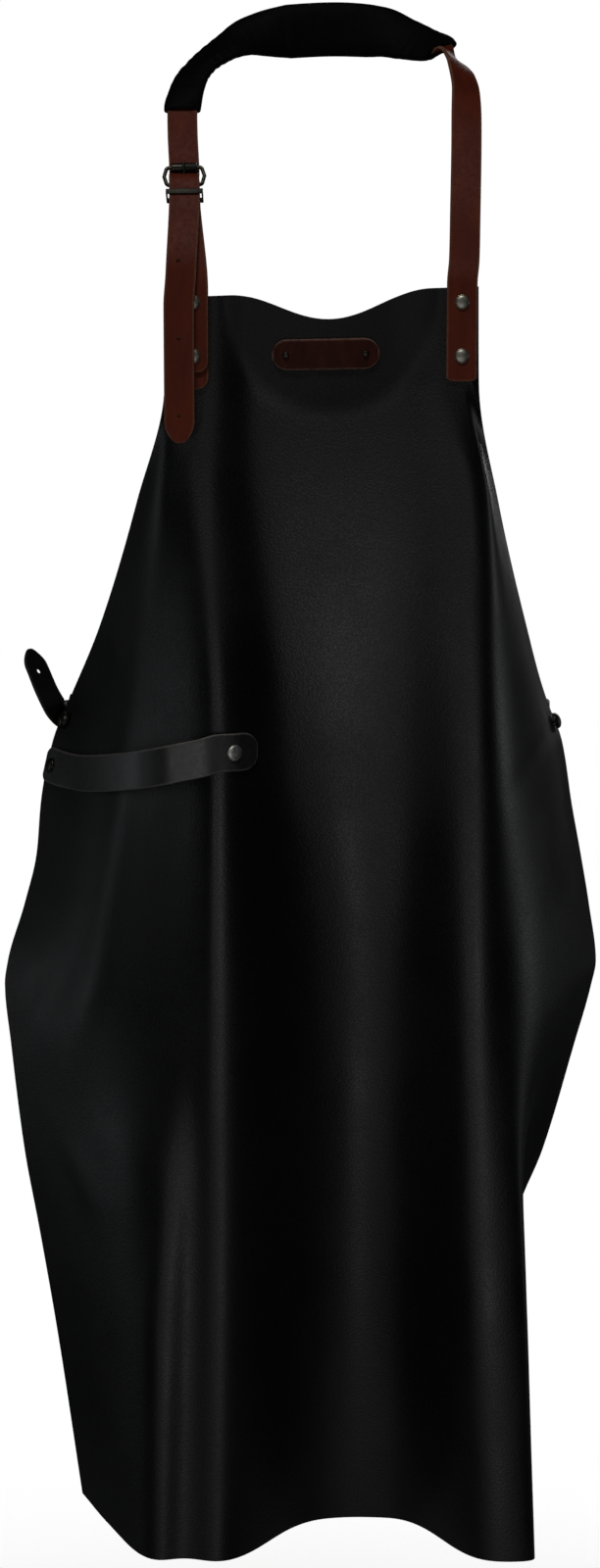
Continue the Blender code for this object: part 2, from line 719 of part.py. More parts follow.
def keeper(name, centre, across, out, along, half_across, half_out):
    """A flat metal loop around the strap and its tail."""
    rings = []
    for grow in (0.0, KEEPER_WALL):
        for offset in (-KEEPER_HEIGHT / 2, KEEPER_HEIGHT / 2):
            ring = []
            for sx, sy in ((1, 1), (-1, 1), (-1, -1), (1, -1)):
                ring.append(centre + across * sx * (half_across + grow) + out * sy * (half_out + grow)
                            + along * offset)
            rings.append(ring)
    inner_low, inner_high, outer_low, outer_high = rings
    return rings_to_solid(name, [inner_low, inner_high, outer_high, outer_low], DARK_METAL, closed=True, smooth=False)


# Neck loop
strap, strap_path, strap_rings = neck_strap()
neck_pad(strap_path, strap_rings)
neck_heel, neck_up, neck_face = buckle_frame_axes()
prong_hole, prong_slot = buckle("neck_buckle", neck_heel, neck_up, neck_face, NECK_STRAP_WIDTH, True)
cut(strap, prong_hole)

single_stack = GAP + STRAP_LEATHER
double_stack = 2 * GAP + 2 * STRAP_LEATHER
for label, drop in (("upper", UPPER_RIVET_DROP), ("lower", LOWER_RIVET_DROP)):
    seat, _ = on_body(STRAP_END_X, -drop)
    hole = rivet(f"neck_rivet_right_{label}", seat, Vector((0, -1, 0)), STRAP_RIVET_RADIUS, RIVET_DOME,
                 single_stack, BODY_LEATHER, METAL)
    cut(body, hole)
    cut(strap, hole)

left_holes = [prong_slot]
for label, drop in (("upper", UPPER_RIVET_DROP), ("lower", LOWER_RIVET_DROP)):
    seat, _ = on_body(BUCKLE_STRAP_X, -drop)
    hole = rivet(f"neck_rivet_left_{label}", seat, Vector((0, -1, 0)), STRAP_RIVET_RADIUS, RIVET_DOME,
                 double_stack, BODY_LEATHER, METAL)
    cut(body, hole)
    left_holes.append(hole)

layer_back = -(GAP + STRAP_LEATHER / 2)
layer_front = -(2 * GAP + 1.5 * STRAP_LEATHER)
turn_radius = BAR_RADIUS + GAP + STRAP_LEATHER / 2
folded_strap(
    "neck_buckle_strap",
    [place(BUCKLE_STRAP_X, layer_back, -BACK_LAYER_DROP), place(BUCKLE_STRAP_X, layer_back, -0.03),
     place(BUCKLE_STRAP_X, layer_back, 0.0), neck_heel - neck_up * 0.009 - neck_face * turn_radius],
    neck_heel, neck_up, neck_face,
    [neck_heel - neck_up * 0.009 + neck_face * turn_radius, place(BUCKLE_STRAP_X, layer_front, 0.0),
     place(BUCKLE_STRAP_X, layer_front, -0.03), place(BUCKLE_STRAP_X, layer_front, -FRONT_LAYER_DROP)],
    [Vector((1, 0, 0))] * 15, NECK_STRAP_WIDTH / 2, BROWN_LEATHER, left_holes)

tail_reach = BAR_RADIUS + 2 * GAP + 2 * STRAP_LEATHER
layer_reach = turn_radius + STRAP_LEATHER / 2
keeper(
    "neck_keeper",
    neck_heel - neck_up * KEEPER_DROP + neck_face * (tail_reach - layer_reach) / 2,
    Vector((1, 0, 0)), neck_face, neck_up,
    NECK_STRAP_WIDTH / 2 + 3 * GAP, (tail_reach + layer_reach) / 2 + 2 * GAP,
)
for number in range(TAIL_HOLES):
    spot = place(TAIL_X, 0.0, TAIL_FIRST_HOLE - number * TAIL_HOLE_PITCH)
    cut(strap, cutter(f"tail_hole_{number + 1}", spot, Vector((0, 1, 0)), STRAP_HOLE_RADIUS, 0.05))


def bib_patch():
    """Small stadium of brown leather that follows the bib, with a rivet at each end."""
    centres, leans, halves = [], [], []
    for share in spaced(PATCH_LENGTH, PATCH_WIDTH / 2, 0.012, PATCH_WIDTH / 2):
        along = share * PATCH_LENGTH
        x = PATCH_CENTRE[0] - PATCH_LENGTH / 2 + along
        rise = PATCH_CENTRE[1] + PATCH_TILT * (x - PATCH_CENTRE[0])
        high, normal = on_body(x, rise + PATCH_WIDTH / 2)
        low, _ = on_body(x, rise - PATCH_WIDTH / 2)
        lean = (high - low).normalized()
        normal = (normal - lean * normal.dot(lean)).normalized()
        centres.append((high + low) / 2 + normal * (PATCH_SEAT + PATCH_LEATHER / 2))
        leans.append(lean)
        edge = min(along, PATCH_LENGTH - along)
        halves.append(max(0.0015, end_profile(edge, PATCH_WIDTH / 2, PATCH_WIDTH / 2)))
    made = band("bib_patch", centres, leans, halves, PATCH_LEATHER, BROWN_LEATHER)
    for label, side in (("left", -1), ("right", 1)):
        x = PATCH_CENTRE[0] + side * PATCH_RIVET_SPREAD
        seat, normal = on_body(x, PATCH_CENTRE[1] + PATCH_TILT * side * PATCH_RIVET_SPREAD)
        hole = rivet(f"patch_rivet_{label}", seat, normal, PATCH_RIVET_RADIUS, RIVET_DOME / 2,
                     PATCH_SEAT + PATCH_LEATHER, BODY_LEATHER, DARK_METAL)
        cut(body, hole)
        cut(made, hole)


def flank_spot(side, rise, inset):
    """A point of the front face this far in from a cut edge, with the ways out of it and up it."""
    point, back = edge_walk(side, rise, inset)
    above, _ = edge_walk(side, rise + 0.008, inset)
    below, _ = edge_walk(side, rise - 0.008, inset)
    normal = back.cross(above - below).normalized()
    if normal.y > 0:
        normal = -normal
    return point, normal, (Vector((0, 0, 1)) - normal * normal.z).normalized()


def edge_walk(side, rise, inset):
    """A point at one height, this far in from a cut edge, and the way back towards the edge."""
    height = rise - SHOULDER_DROP
    column = 0 if side < 0 else -1
    upper = max(r for r in range(len(body_grid) - 1) if body_grid[r][column].z >= height)
    top, low = body_grid[upper], body_grid[upper + 1]
    share = (top[column].z - height) / (top[column].z - low[column].z)
    line = [a.lerp(b, share) for a, b in zip(top, low)]
    if side > 0:
        line.reverse()
    left = inset
    for a, b in zip(line, line[1:]):
        step = (b - a).length
        if left <= step:
            return a.lerp(b, left / step), (a - b).normalized()
        left -= step
    raise ValueError("the inset is wider than the sheet")


def towel_strap():
    """Band for a towel, riveted on the front and at the left edge, standing off between."""
    x0, rise = TOWEL_RIVET
    stand = 1.5 * GAP + STRAP_LEATHER / 2
    points = []
    for shift in (TOWEL_END_REACH, 0.008, 0.0, -0.008):
        spot, normal = on_body(x0 + shift, rise)
        points.append(spot + normal * stand)
    leans = [Vector((0, 0, 1))] * (len(points) + len(TOWEL_ROUTE))
    side_drop = WAIST_DROP + TOWEL_BELOW_WAIST
    for across, back, way in TOWEL_ROUTE:
        points.append(place(across * HALF_ACROSS, back * BODY_BACK, rise - (side_drop + rise) * way))
    for inset in (TOWEL_SIDE_INSET + 0.006, TOWEL_SIDE_INSET - 0.006, TOWEL_END_INSET):
        spot, normal, rising = flank_spot(-1, -side_drop, inset)
        points.append(spot + normal * (stand + CURVED_SEAT))
        leans.append(rising)
    half = TOWEL_STRAP_WIDTH / 2

    def width_at(along, length):
        return min(end_profile(along, half, half * 0.9), end_profile(length - along, half, END_ROUNDING))

    made, _, _ = strap_along("towel_strap", points, leans, width_at, STRAP_BLACK, half * 0.9, 0.010, END_ROUNDING)
    seat, normal = on_body(x0, rise)
    front = rivet("towel_rivet_front", seat, normal, TOWEL_RIVET_RADIUS, RIVET_DOME,
                  2 * GAP + STRAP_LEATHER, BODY_LEATHER + CURVED_SEAT, METAL)
    seat, normal, _ = flank_spot(-1, -side_drop, TOWEL_SIDE_INSET)
    side = rivet("towel_rivet_side", seat, normal, TOWEL_RIVET_RADIUS, RIVET_DOME,
                 CURVED_SEAT + 2 * GAP + STRAP_LEATHER, BODY_LEATHER + CURVED_SEAT, METAL)
    for hole in (front, side):
        cut(body, hole)
        cut(made, hole)


def waist_parts():
    """Waist strap from the right corner round the back to its buckle at the left corner."""
    inside = BODY_LEATHER + CURVED_SEAT + STRAP_LEATHER / 2
    deeper = inside + GAP + STRAP_LEATHER
    seats = {side: flank_spot(side, -WAIST_DROP, CORNER_INSET) for side in (-1, 1)}

    def inner(side, inset, depth):
        spot, normal, _ = flank_spot(side, -WAIST_DROP, inset)
        return spot - normal * depth

    edge, _, _ = flank_spot(-1, -WAIST_DROP, 0.0)
    heel = edge + Vector(WAIST_HEEL)
    up = Vector(WAIST_HEEL_LEAN).normalized()
    face = Vector((0, 0, 1)).cross(up).normalized()
    through, slot = buckle("waist_buckle", heel, up, face, WAIST_STRAP_WIDTH, False)

    corner_hole = rivet("waist_rivet_left", seats[-1][0], seats[-1][1], CORNER_RIVET_RADIUS, CORNER_RIVET_DOME,
                        CURVED_SEAT, BODY_LEATHER + CURVED_SEAT + GAP + 2 * STRAP_LEATHER, METAL)
    cut(body, corner_hole)
    upright = Vector((0, 0, 1))
    tilt = {side: seats[side][2] for side in seats}
    folded_strap(
        "waist_buckle_strap",
        [inner(-1, CORNER_INSET + 0.011, deeper), inner(-1, CORNER_INSET, deeper), inner(-1, 0.001, deeper),
         heel - up * 0.010 - face * turn_radius],
        heel, up, face,
        [heel - up * 0.010 + face * turn_radius, inner(-1, 0.001, inside), inner(-1, CORNER_INSET, inside),
         inner(-1, CORNER_INSET + 0.011, inside)],
        [tilt[-1]] * 3 + [upright] * 9 + [tilt[-1]] * 3, WAIST_STRAP_WIDTH / 2, STRAP_BLACK, [slot, corner_hole])

    points = [inner(1, CORNER_INSET + 0.011, inside), inner(1, CORNER_INSET, inside), inner(1, 0.001, inside)]
    for across, back in WAIST_ROUTE:
        points.append(place(across * HALF_ACROSS, back * WAIST_REACH, -WAIST_DROP))
    points += through_buckle(heel, up, face, BAR_RADIUS)
    leans = [tilt[1]] * 3 + [upright] * (len(points) - 3)
    for shift, lean in WAIST_TAIL:
        points.append(heel + Vector(shift))
        leans.append(Vector(lean))
    half = WAIST_STRAP_WIDTH / 2

    def width_at(along, length):
        tip = length - along
        pointed = half * min(1.0, 0.15 + 0.85 * sin(pi / 2 * min(1.0, tip / 0.015)) ** 0.8)
        return min(end_profile(along, half, END_ROUNDING), pointed)

    waist, path, _ = strap_along("waist_strap", points, leans, width_at, STRAP_BLACK, END_ROUNDING, 0.013, 0.015)
    right_hole = rivet("waist_rivet_right", seats[1][0], seats[1][1], CORNER_RIVET_RADIUS, CORNER_RIVET_DOME,
                       CURVED_SEAT, BODY_LEATHER + CURVED_SEAT + STRAP_LEATHER, METAL)
    cut(body, right_hole)
    cut(waist, right_hole)
    cut(waist, through)
    hole_share = 1 - WAIST_HOLE_FROM_TIP / path.length
    spot = path.at(hole_share)
    run = (path.at(hole_share + 0.003) - path.at(hole_share - 0.003)).normalized()
    lean = Vector(WAIST_TAIL[-2][1]).normalized()
    cut(waist, cutter("waist_tail_hole", spot, lean.cross(run), WAIST_HOLE_RADIUS, 0.012))


bib_patch()
towel_strap()
waist_parts()
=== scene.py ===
from math import asin, cos, exp, pi, radians, sin, sqrt

import bmesh
import bpy
from mathutils import Matrix, Vector, noise
from mathutils.bvhtree import BVHTree


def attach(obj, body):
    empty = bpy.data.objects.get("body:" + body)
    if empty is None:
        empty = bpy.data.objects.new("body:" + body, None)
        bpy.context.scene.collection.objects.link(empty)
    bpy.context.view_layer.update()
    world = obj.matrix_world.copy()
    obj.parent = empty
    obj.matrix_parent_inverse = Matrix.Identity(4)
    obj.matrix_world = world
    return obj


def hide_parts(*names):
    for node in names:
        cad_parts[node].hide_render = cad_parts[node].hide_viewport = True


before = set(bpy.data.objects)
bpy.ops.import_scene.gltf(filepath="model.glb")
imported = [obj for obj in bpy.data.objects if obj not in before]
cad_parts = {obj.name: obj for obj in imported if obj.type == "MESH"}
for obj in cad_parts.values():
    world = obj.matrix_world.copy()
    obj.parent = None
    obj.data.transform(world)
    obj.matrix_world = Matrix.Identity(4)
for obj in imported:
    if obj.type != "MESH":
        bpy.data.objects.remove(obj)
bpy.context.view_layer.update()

# measures in metres, from the middle of the shoulders
body = {
    "length": 0.882, "halfAcross": 0.230, "depth": 0.190, "shoulderDrop": 0.162,
    "loopDepth": 0.110, "loopHalf": 0.100, "waistReach": 0.300, "leather": 0.0020,
    "scoop": 0.018, "scoopHalf": 0.066, "tilt": 0.0035, "lean": 0.013, "leanHalf": 0.070,
    "leanDepth": 0.080, "leanCentre": 0.006, "scoopFade": 0.120,
}
strapStock = {"leather": 0.0024, "gap": 0.0004, "curvedSeat": 0.0009, "rounding": 0.0075, "bevel": 0.0006,
              "rim": 0.0036}
buckleStock = {"bar": 0.0013, "roller": 0.0031, "prong": 0.0009, "length": 0.0125, "bulge": 0.0012}

# cut edges down the sheet, in shares: drop, left across and back, right across and back, steps to the next
edgeRows = (
    (0.000, -0.446, 0.00, 0.447, 0.00, 4),
    (0.068, -0.449, 0.01, 0.451, 0.01, 3),
    (0.159, -0.542, 0.25, 0.522, 0.21, 3),
    (0.262, -0.673, 0.59, 0.632, 0.59, 3),
    (0.336, -0.799, 0.97, 0.728, 0.97, 1),
    (0.367, -0.848, 0.96, 0.773, 0.95, 2),
    (0.421, -0.889, 0.93, 0.806, 0.91, 1),
    (0.459, -0.900, 0.89, 0.832, 0.87, 1),
    (0.501, -0.938, 0.84, 0.858, 0.82, 2),
    (0.547, -0.990, 0.79, 0.880, 0.79, 1),
    (0.566, -1.000, 0.78, 0.866, 0.78, 1),
    (0.615, -0.982, 0.76, 0.814, 0.76, 3),
    (0.706, -0.941, 0.73, 0.715, 0.74, 2),
    (0.771, -0.896, 0.70, 0.624, 0.74, 2),
    (0.854, -0.843, 0.67, 0.590, 0.74, 3),
    (1.000, -0.765, 0.64, 0.560, 0.74, 0),
)
foldLevels = (0.068, 0.16, 0.336, 0.547, 0.706, 1.0)  # bib, chest, waist, hip, knee, hem
# folds of the sheet, in shares at each level: across, back, and steps to the next fold
folds = {
    "leftSwell": (
        (-0.417, -0.470, -0.561, -0.687, -0.743, -0.652),
        (0.000, 0.084, 0.326, 0.337, 0.395, 0.316), 3),
    "sideFold": (
        (-0.383, -0.404, -0.417, -0.439, -0.452, -0.500),
        (0.000, 0.032, 0.116, 0.105, 0.032, 0.011), 2),
    "sideGroove": (
        (-0.348, -0.365, -0.357, -0.365, -0.383, -0.413),
        (0.000, 0.010, 0.042, 0.042, 0.047, 0.047), 2),
    "leftRidge": (
        (-0.304, -0.326, -0.300, -0.304, -0.304, -0.313),
        (0.000, 0.000, 0.000, 0.000, 0.000, 0.000), 5),
    "leftFoot": (
        (-0.196, -0.174, -0.109, -0.017, -0.009, -0.013),
        (0.042, 0.058, 0.116, 0.195, 0.254, 0.392), 3),
    "valley": (
        (0.000, 0.017, 0.052, 0.104, 0.113, 0.117),
        (0.047, 0.068, 0.137, 0.221, 0.290, 0.416), 3),
    "rightFoot": (
        (0.191, 0.200, 0.217, 0.226, 0.235, 0.248),
        (0.042, 0.058, 0.116, 0.195, 0.254, 0.402), 5),
    "rightRidge": (
        (0.339, 0.426, 0.461, 0.470, 0.487, 0.526),
        (0.000, 0.000, 0.000, 0.000, 0.000, 0.000), 2),
    "frontFold": (
        (0.400, 0.483, 0.517, 0.565, 0.613, 0.670),
        (0.000, 0.016, 0.026, 0.032, 0.026, 0.016), 4),
    "rightFlank": (
        (0.430, 0.504, 0.665, 0.752, 0.615, 0.610),
        (0.000, 0.116, 0.489, 0.389, 0.379, 0.379), 3),
}
leftEdgeSteps = 4


def place(across, back, rise):
    return Vector((across, back - body["loopDepth"], rise - body["shoulderDrop"]))


def smoothRead(knots, values, at):  # cubic through the values that never runs past two neighbours
    last = len(knots) - 1
    if at <= knots[0]:
        return values[0]
    if at >= knots[last]:
        return values[last]
    steps = [knots[i + 1] - knots[i] for i in range(last)]
    rises = [(values[i + 1] - values[i]) / steps[i] for i in range(last)]
    slopes = [rises[0]]
    for i in range(1, last):
        before, after = rises[i - 1], rises[i]
        if before * after <= 0.0:
            slopes.append(0.0)
        else:
            heavy = 2 * steps[i] + steps[i - 1]
            light = steps[i] + 2 * steps[i - 1]
            slopes.append((heavy + light) / (heavy / before + light / after))
    slopes.append(rises[-1])
    i = max(k for k in range(last) if knots[k] <= at)
    t = (at - knots[i]) / steps[i]
    return (values[i] * (1 + 2 * t) * (1 - t) ** 2 + slopes[i] * steps[i] * t * (1 - t) ** 2
            + values[i + 1] * t * t * (3 - 2 * t) + slopes[i + 1] * steps[i] * t * t * (t - 1))


class SmoothLine:  # read by the share of its chord length
    def __init__(self, points):
        self.points = [Vector(p) for p in points]
        travelled = [0.0]
        for a, b in zip(self.points, self.points[1:]):
            travelled.append(travelled[-1] + max((b - a).length, 1e-6))
        self.length = travelled[-1]
        self.knots = [t / self.length for t in travelled]
        self.axes = [[p[k] for p in self.points] for k in range(3)]

    def at(self, share):
        return Vector([smoothRead(self.knots, axis, share) for axis in self.axes])


class Wire:  # an output socket that takes part in Python expressions
    def __init__(self, paint, socket):
        self.paint = paint
        self.socket = socket

    def sum(self, operation, *values):
        return self.paint.node("ShaderNodeMath", {"operation": operation}, dict(enumerate(values)))

    def __add__(self, other):
        return self.sum("ADD", self, other)

    def __sub__(self, other):
        return self.sum("SUBTRACT", self, other)

    def __rsub__(self, other):
        return self.sum("SUBTRACT", other, self)

    def __mul__(self, other):
        return self.sum("MULTIPLY", self, other)

    __radd__ = __add__
    __rmul__ = __mul__


class Paint:  # the nodes of one material
    def __init__(self, name, **settings):
        self.material = bpy.data.materials.new(name)
        self.material.use_nodes = True
        self.tree = self.material.node_tree
        self.shader = self.tree.nodes["Principled BSDF"]
        for socket, value in settings.items():
            self.shader.inputs[socket.replace("_", " ")].default_value = value

    def node(self, kind, settings=None, inputs=None, output=0):
        made = self.tree.nodes.new(kind)
        for key, value in (settings or {}).items():
            setattr(made, key, value)
        for key, value in (inputs or {}).items():
            self.feed(made.inputs[key], value)
        return Wire(self, made.outputs[output])

    def feed(self, socket, value):
        if isinstance(value, Wire):
            self.tree.links.new(value.socket, socket)
        else:
            socket.default_value = value

    def surface(self):
        return self.node("ShaderNodeTexCoord", output="Object")

    def written(self, name):
        return self.node("ShaderNodeAttribute", {"attribute_name": name}, output="Fac")

    def cloud(self, at, scale, detail=3.0, rough=0.55):
        sockets = {"Vector": at, "Scale": scale, "Detail": detail, "Roughness": rough}
        return self.node("ShaderNodeTexNoise", {}, sockets)

    def cells(self, at, scale):
        return self.node("ShaderNodeTexVoronoi", {}, {"Vector": at, "Scale": scale})

    def range(self, value, low, high, newLow=0.0, newHigh=1.0):
        sockets = {"Value": value, "From Min": low, "From Max": high, "To Min": newLow, "To Max": newHigh}
        return self.node("ShaderNodeMapRange", {"interpolation_type": "SMOOTHSTEP"}, sockets)

    def blend(self, share, first, second):
        return self.node("ShaderNodeMix", {"data_type": "RGBA"}, {0: share, 6: first, 7: second}, output=2)

    def stretch(self, at, scale):
        return self.node("ShaderNodeMapping", {}, {"Vector": at, "Scale": scale})

    def relief(self, height, depth):
        bump = self.node("ShaderNodeBump", {}, {"Height": height, "Strength": 1.0, "Distance": depth})
        self.feed(self.shader.inputs["Normal"], bump)

    def give(self, **links):
        for socket, value in links.items():
            self.feed(self.shader.inputs[socket.replace("_", " ")], value)
        return self.material


def rgb(red, green, blue):
    return (red, green, blue, 1.0)


def grainedLeather(name, scale, tone, grainDepth, rough, shine):
    paint = Paint(name, Specular_IOR_Level=shine)
    at = paint.surface()
    pebble = paint.cells(at, scale)
    pores = paint.cloud(at, scale * 2.6, 2.0)
    handled = paint.cloud(at, 9.0, 4.0)
    dust = paint.range(paint.cloud(at, 210.0, 3.0, 0.7), 0.52, 0.78)
    height = pebble * -1.0 + pores * 0.55 + paint.cloud(at, scale * 0.28, 2.0) * 0.5
    paint.relief(height, grainDepth)
    light = tuple(c * 1.8 + 0.0006 for c in tone)
    colour = paint.blend(paint.range(handled, 0.35, 0.75, 0.0, 0.45), rgb(*tone), rgb(*light))
    colour = paint.blend(dust * 0.22, colour, rgb(*[c * 3.0 for c in tone]))
    roughness = paint.range(handled, 0.3, 0.7, rough - 0.05, rough + 0.06)
    roughness = roughness + paint.range(pebble, 0.1, 0.7, -0.03, 0.06) + paint.written("matt") * 0.24
    return paint.give(Base_Color=colour, Roughness=roughness)


def cutEdge(name, tone):
    paint = Paint(name)
    at = paint.surface()
    fibre = paint.cloud(at, 2400.0, 3.0, 0.7)
    worn = paint.cloud(at, 120.0, 3.0)
    colour = paint.blend(paint.range(worn, 0.38, 0.7), rgb(*tone), rgb(*[c * 2.6 for c in tone]))
    paint.relief(fibre, 0.0003)
    return paint.give(Base_Color=colour, Roughness=paint.range(fibre, 0.2, 0.8, 0.62, 0.86))


def bridleLeather(name, deep, warm, edge, rough, shine, polish=0.0):
    paint = Paint(name, Specular_IOR_Level=shine, Coat_Weight=polish, Coat_Roughness=rough)
    at = paint.surface()
    rim = paint.written("rim")
    drawn = paint.cloud(paint.stretch(at, (1.0, 1.0, 0.25)), 90.0, 4.0, 0.6)
    mottle = paint.cloud(at, 340.0, 3.0, 0.65)
    grain = paint.cloud(at, 1900.0, 3.0, 0.6)
    pores = paint.range(paint.cells(at, 900.0), 0.0, 0.22)
    scuff = paint.range(paint.cloud(paint.stretch(at, (1.0, 1.0, 3.0)), 130.0, 5.0, 0.75), 0.60, 0.74)
    colour = paint.blend(paint.range(drawn, 0.32, 0.70), rgb(*deep), rgb(*warm))
    colour = paint.blend(paint.range(mottle, 0.45, 0.75) * 0.2, colour, rgb(*[c * 0.6 for c in deep]))
    colour = paint.blend(scuff * 0.25, colour, rgb(*[c * 1.9 for c in warm]))
    broken = paint.range(paint.cloud(at, 260.0, 3.0, 0.7), 0.25, 0.62, 0.35, 1.0)
    # lighter along the edges: wear, and for the patch also a painted highlight standing in for its lit top
    # edge
    worn = paint.range(rim, 0.52, 0.96) * broken
    colour = paint.blend(worn, colour, rgb(*edge))
    # a line is pressed in along the edges
    groove = paint.range(rim, 0.55, 0.70) * -0.9 + paint.range(rim, 0.70, 0.8) * 0.9
    paint.relief(grain * 0.45 + pores * 0.5 + groove, 0.00006)
    roughness = paint.range(mottle, 0.3, 0.7, rough - 0.06, rough + 0.07) + worn * 0.22 + scuff * 0.08
    return paint.give(Base_Color=colour, Roughness=roughness)


def agedMetal(name, clean, dark, rough, age):
    paint = Paint(name)
    at = paint.surface()
    crown = paint.written("crown")
    blotch = paint.cloud(at, 420.0, 4.0, 0.7)
    scratch = paint.cloud(paint.stretch(at, (1.0, 1.0, 9.0)), 900.0, 2.0, 0.6)
    grime = paint.range(blotch + crown * 0.55, 0.55, 0.98)
    polish = paint.range(grime, 0.0, 1.0, 1.0 - age, 1.0)
    colour = paint.blend(polish, rgb(*dark), rgb(*clean))
    bare = [min(1.0, c * 1.5) for c in clean]
    colour = paint.blend(paint.range(scratch, 0.55, 0.72) * 0.3, colour, rgb(*bare))
    paint.relief(blotch * 0.5 + scratch * 0.25, 0.00008)
    roughness = paint.range(blotch, 0.3, 0.75, rough - 0.07, rough + 0.12) + (1.0 - polish) * 0.18
    metal = paint.range(polish, 0.0, 0.7, 0.55, 1.0)
    return paint.give(Base_Color=colour, Roughness=roughness, Metallic=metal)


finish = {
    "bodyFront": grainedLeather("black pebbled leather", 620.0, (0.0017, 0.0018, 0.0021), 0.00008,
                                0.40, 0.55),
    "bodyBack": grainedLeather("black suede back", 1300.0, (0.0170, 0.0160, 0.0155), 0.00015, 0.80, 0.3),
    "bodyEdge": cutEdge("black leather cut edge", (0.020, 0.017, 0.015)),
    "pad": grainedLeather("soft black pad leather", 900.0, (0.0012, 0.0012, 0.0014), 0.00007, 0.66, 0.10),
    "brownStrap": bridleLeather("brown bridle leather", (0.125, 0.0220, 0.0110), (0.170, 0.0310, 0.0145),
                                (0.230, 0.115, 0.072), 0.54, 0.14),
    # the patch's edge colour is edge wear made lighter still, as a painted highlight for its lit top edge
    "patch": bridleLeather("brown patch leather", (0.040, 0.0095, 0.0060), (0.075, 0.0175, 0.0105),
                           (0.230, 0.135, 0.105), 0.56, 0.12),
    "blackStrap": bridleLeather("black strap leather", (0.0030, 0.0030, 0.0034), (0.0055, 0.0055, 0.0062),
                                (0.040, 0.036, 0.031), 0.52, 0.15),
    "towelBand": bridleLeather("black band leather", (0.0030, 0.0030, 0.0034), (0.0052, 0.0052, 0.0060),
                               (0.120, 0.110, 0.098), 0.46, 1.0, 0.7),
    "rivet": agedMetal("dull silver rivet", (0.46, 0.455, 0.385), (0.055, 0.055, 0.043), 0.42, 0.85),
    "brightRivet": agedMetal("bright silver rivet", (0.82, 0.82, 0.78), (0.20, 0.195, 0.175), 0.44, 0.6),
    "cornerRivet": agedMetal("dark domed rivet", (0.055, 0.054, 0.046), (0.014, 0.0138, 0.0115), 0.36, 0.7),
    "smallRivet": agedMetal("dark small rivet", (0.060, 0.055, 0.050), (0.018, 0.017, 0.016), 0.42, 0.7),
    "buckle": agedMetal("dark bronze", (0.050, 0.049, 0.040), (0.010, 0.0098, 0.0078), 0.36, 0.8),
}
print("materials made")


def meshPiece(name, points, faces, materials, flats=None, floats=None):
    mesh = bpy.data.meshes.new(name)
    mesh.from_pydata([tuple(p) for p in points], [], faces)
    if flats:  # one flat place for each point
        layer = mesh.uv_layers.new(name="UVMap")
        for loop in mesh.loops:
            layer.data[loop.index].uv = flats[loop.vertex_index]
    for key, values in (floats or {}).items():
        written = mesh.attributes.new(key, "FLOAT", "POINT")
        written.data.foreach_set("value", values)
    for each in materials:
        mesh.materials.append(each)
    piece = bpy.data.objects.new(name, mesh)
    bpy.context.collection.objects.link(piece)
    mesh.shade_smooth()
    return piece


def onlySelect(piece):
    bpy.ops.object.select_all(action="DESELECT")
    piece.select_set(True)
    bpy.context.view_layer.objects.active = piece


def applyAll(piece):
    onlySelect(piece)
    for step in list(piece.modifiers):
        bpy.ops.object.modifier_apply(modifier=step.name)


def turnOut(piece):
    work = bmesh.new()
    work.from_mesh(piece.data)
    bmesh.ops.recalc_face_normals(work, faces=work.faces)
    work.to_mesh(piece.data)
    work.free()


def cutAway(piece, tool):
    step = piece.modifiers.new("cut", "BOOLEAN")
    step.operation = "DIFFERENCE"
    step.solver = "EXACT"
    step.object = tool
    applyAll(piece)
    bpy.data.objects.remove(tool, do_unlink=True)


def stood(base, across, up, out):  # a matrix that turns x, y and z to three ways, at a base
    return Matrix.Translation(base) @ Matrix((across, up, out)).transposed().to_4x4()


def axes(base, along, side=None):  # a matrix that stands a piece up on base, along a direction
    along = along.normalized()
    side = side or along.orthogonal()
    side = (side - along * side.dot(along)).normalized()
    return stood(base, side, along.cross(side), along)


def settle(piece, matrix):
    piece.matrix_world = matrix
    onlySelect(piece)
    bpy.ops.object.transform_apply(location=True, rotation=True, scale=True)


def drill(spot, along, radius, length):
    bpy.ops.object.select_all(action="DESELECT")
    bpy.ops.mesh.primitive_cylinder_add(vertices=24, radius=radius, depth=length)
    tool = bpy.context.object
    settle(tool, axes(spot, along))
    return tool


def block(half):  # a box by its half measures
    bpy.ops.object.select_all(action="DESELECT")
    bpy.ops.mesh.primitive_cube_add(size=2.0)
    made = bpy.context.object
    made.scale = half
    bpy.ops.object.transform_apply(location=False, rotation=False, scale=True)
    return made


def hand(piece, node):
    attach(piece, "root")
    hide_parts(node)
    return piece


# the sheet
def necklineAt(x):
    reach = abs(x - body["leanCentre"]) / body["scoopHalf"]
    scoop = 0.5 + 0.5 * cos(pi * reach) if reach < 1.0 else 0.0
    return body["tilt"] * x / body["loopHalf"] - body["scoop"] * scoop


def leanRing(x, drop):  # 0 in the middle of what leans forward under the neckline, 1 at its rim
    return ((x - body["leanCentre"]) / body["leanHalf"]) ** 2 + (drop / body["leanDepth"]) ** 2


def foldLine(drop):  # the line that the sheet takes at one height, from edge to edge
    drops = [row[0] for row in edgeRows]
    edge = [smoothRead(drops, [row[k] for row in edgeRows], drop) for k in range(1, 5)]
    line = [(edge[0], edge[1])]
    for across, back, _ in folds.values():
        line.append((smoothRead(foldLevels, across, drop), smoothRead(foldLevels, back, drop)))
    line.append((edge[2], edge[3]))
    return SmoothLine([(x * body["halfAcross"], y * body["depth"], 0.0) for x, y in line])


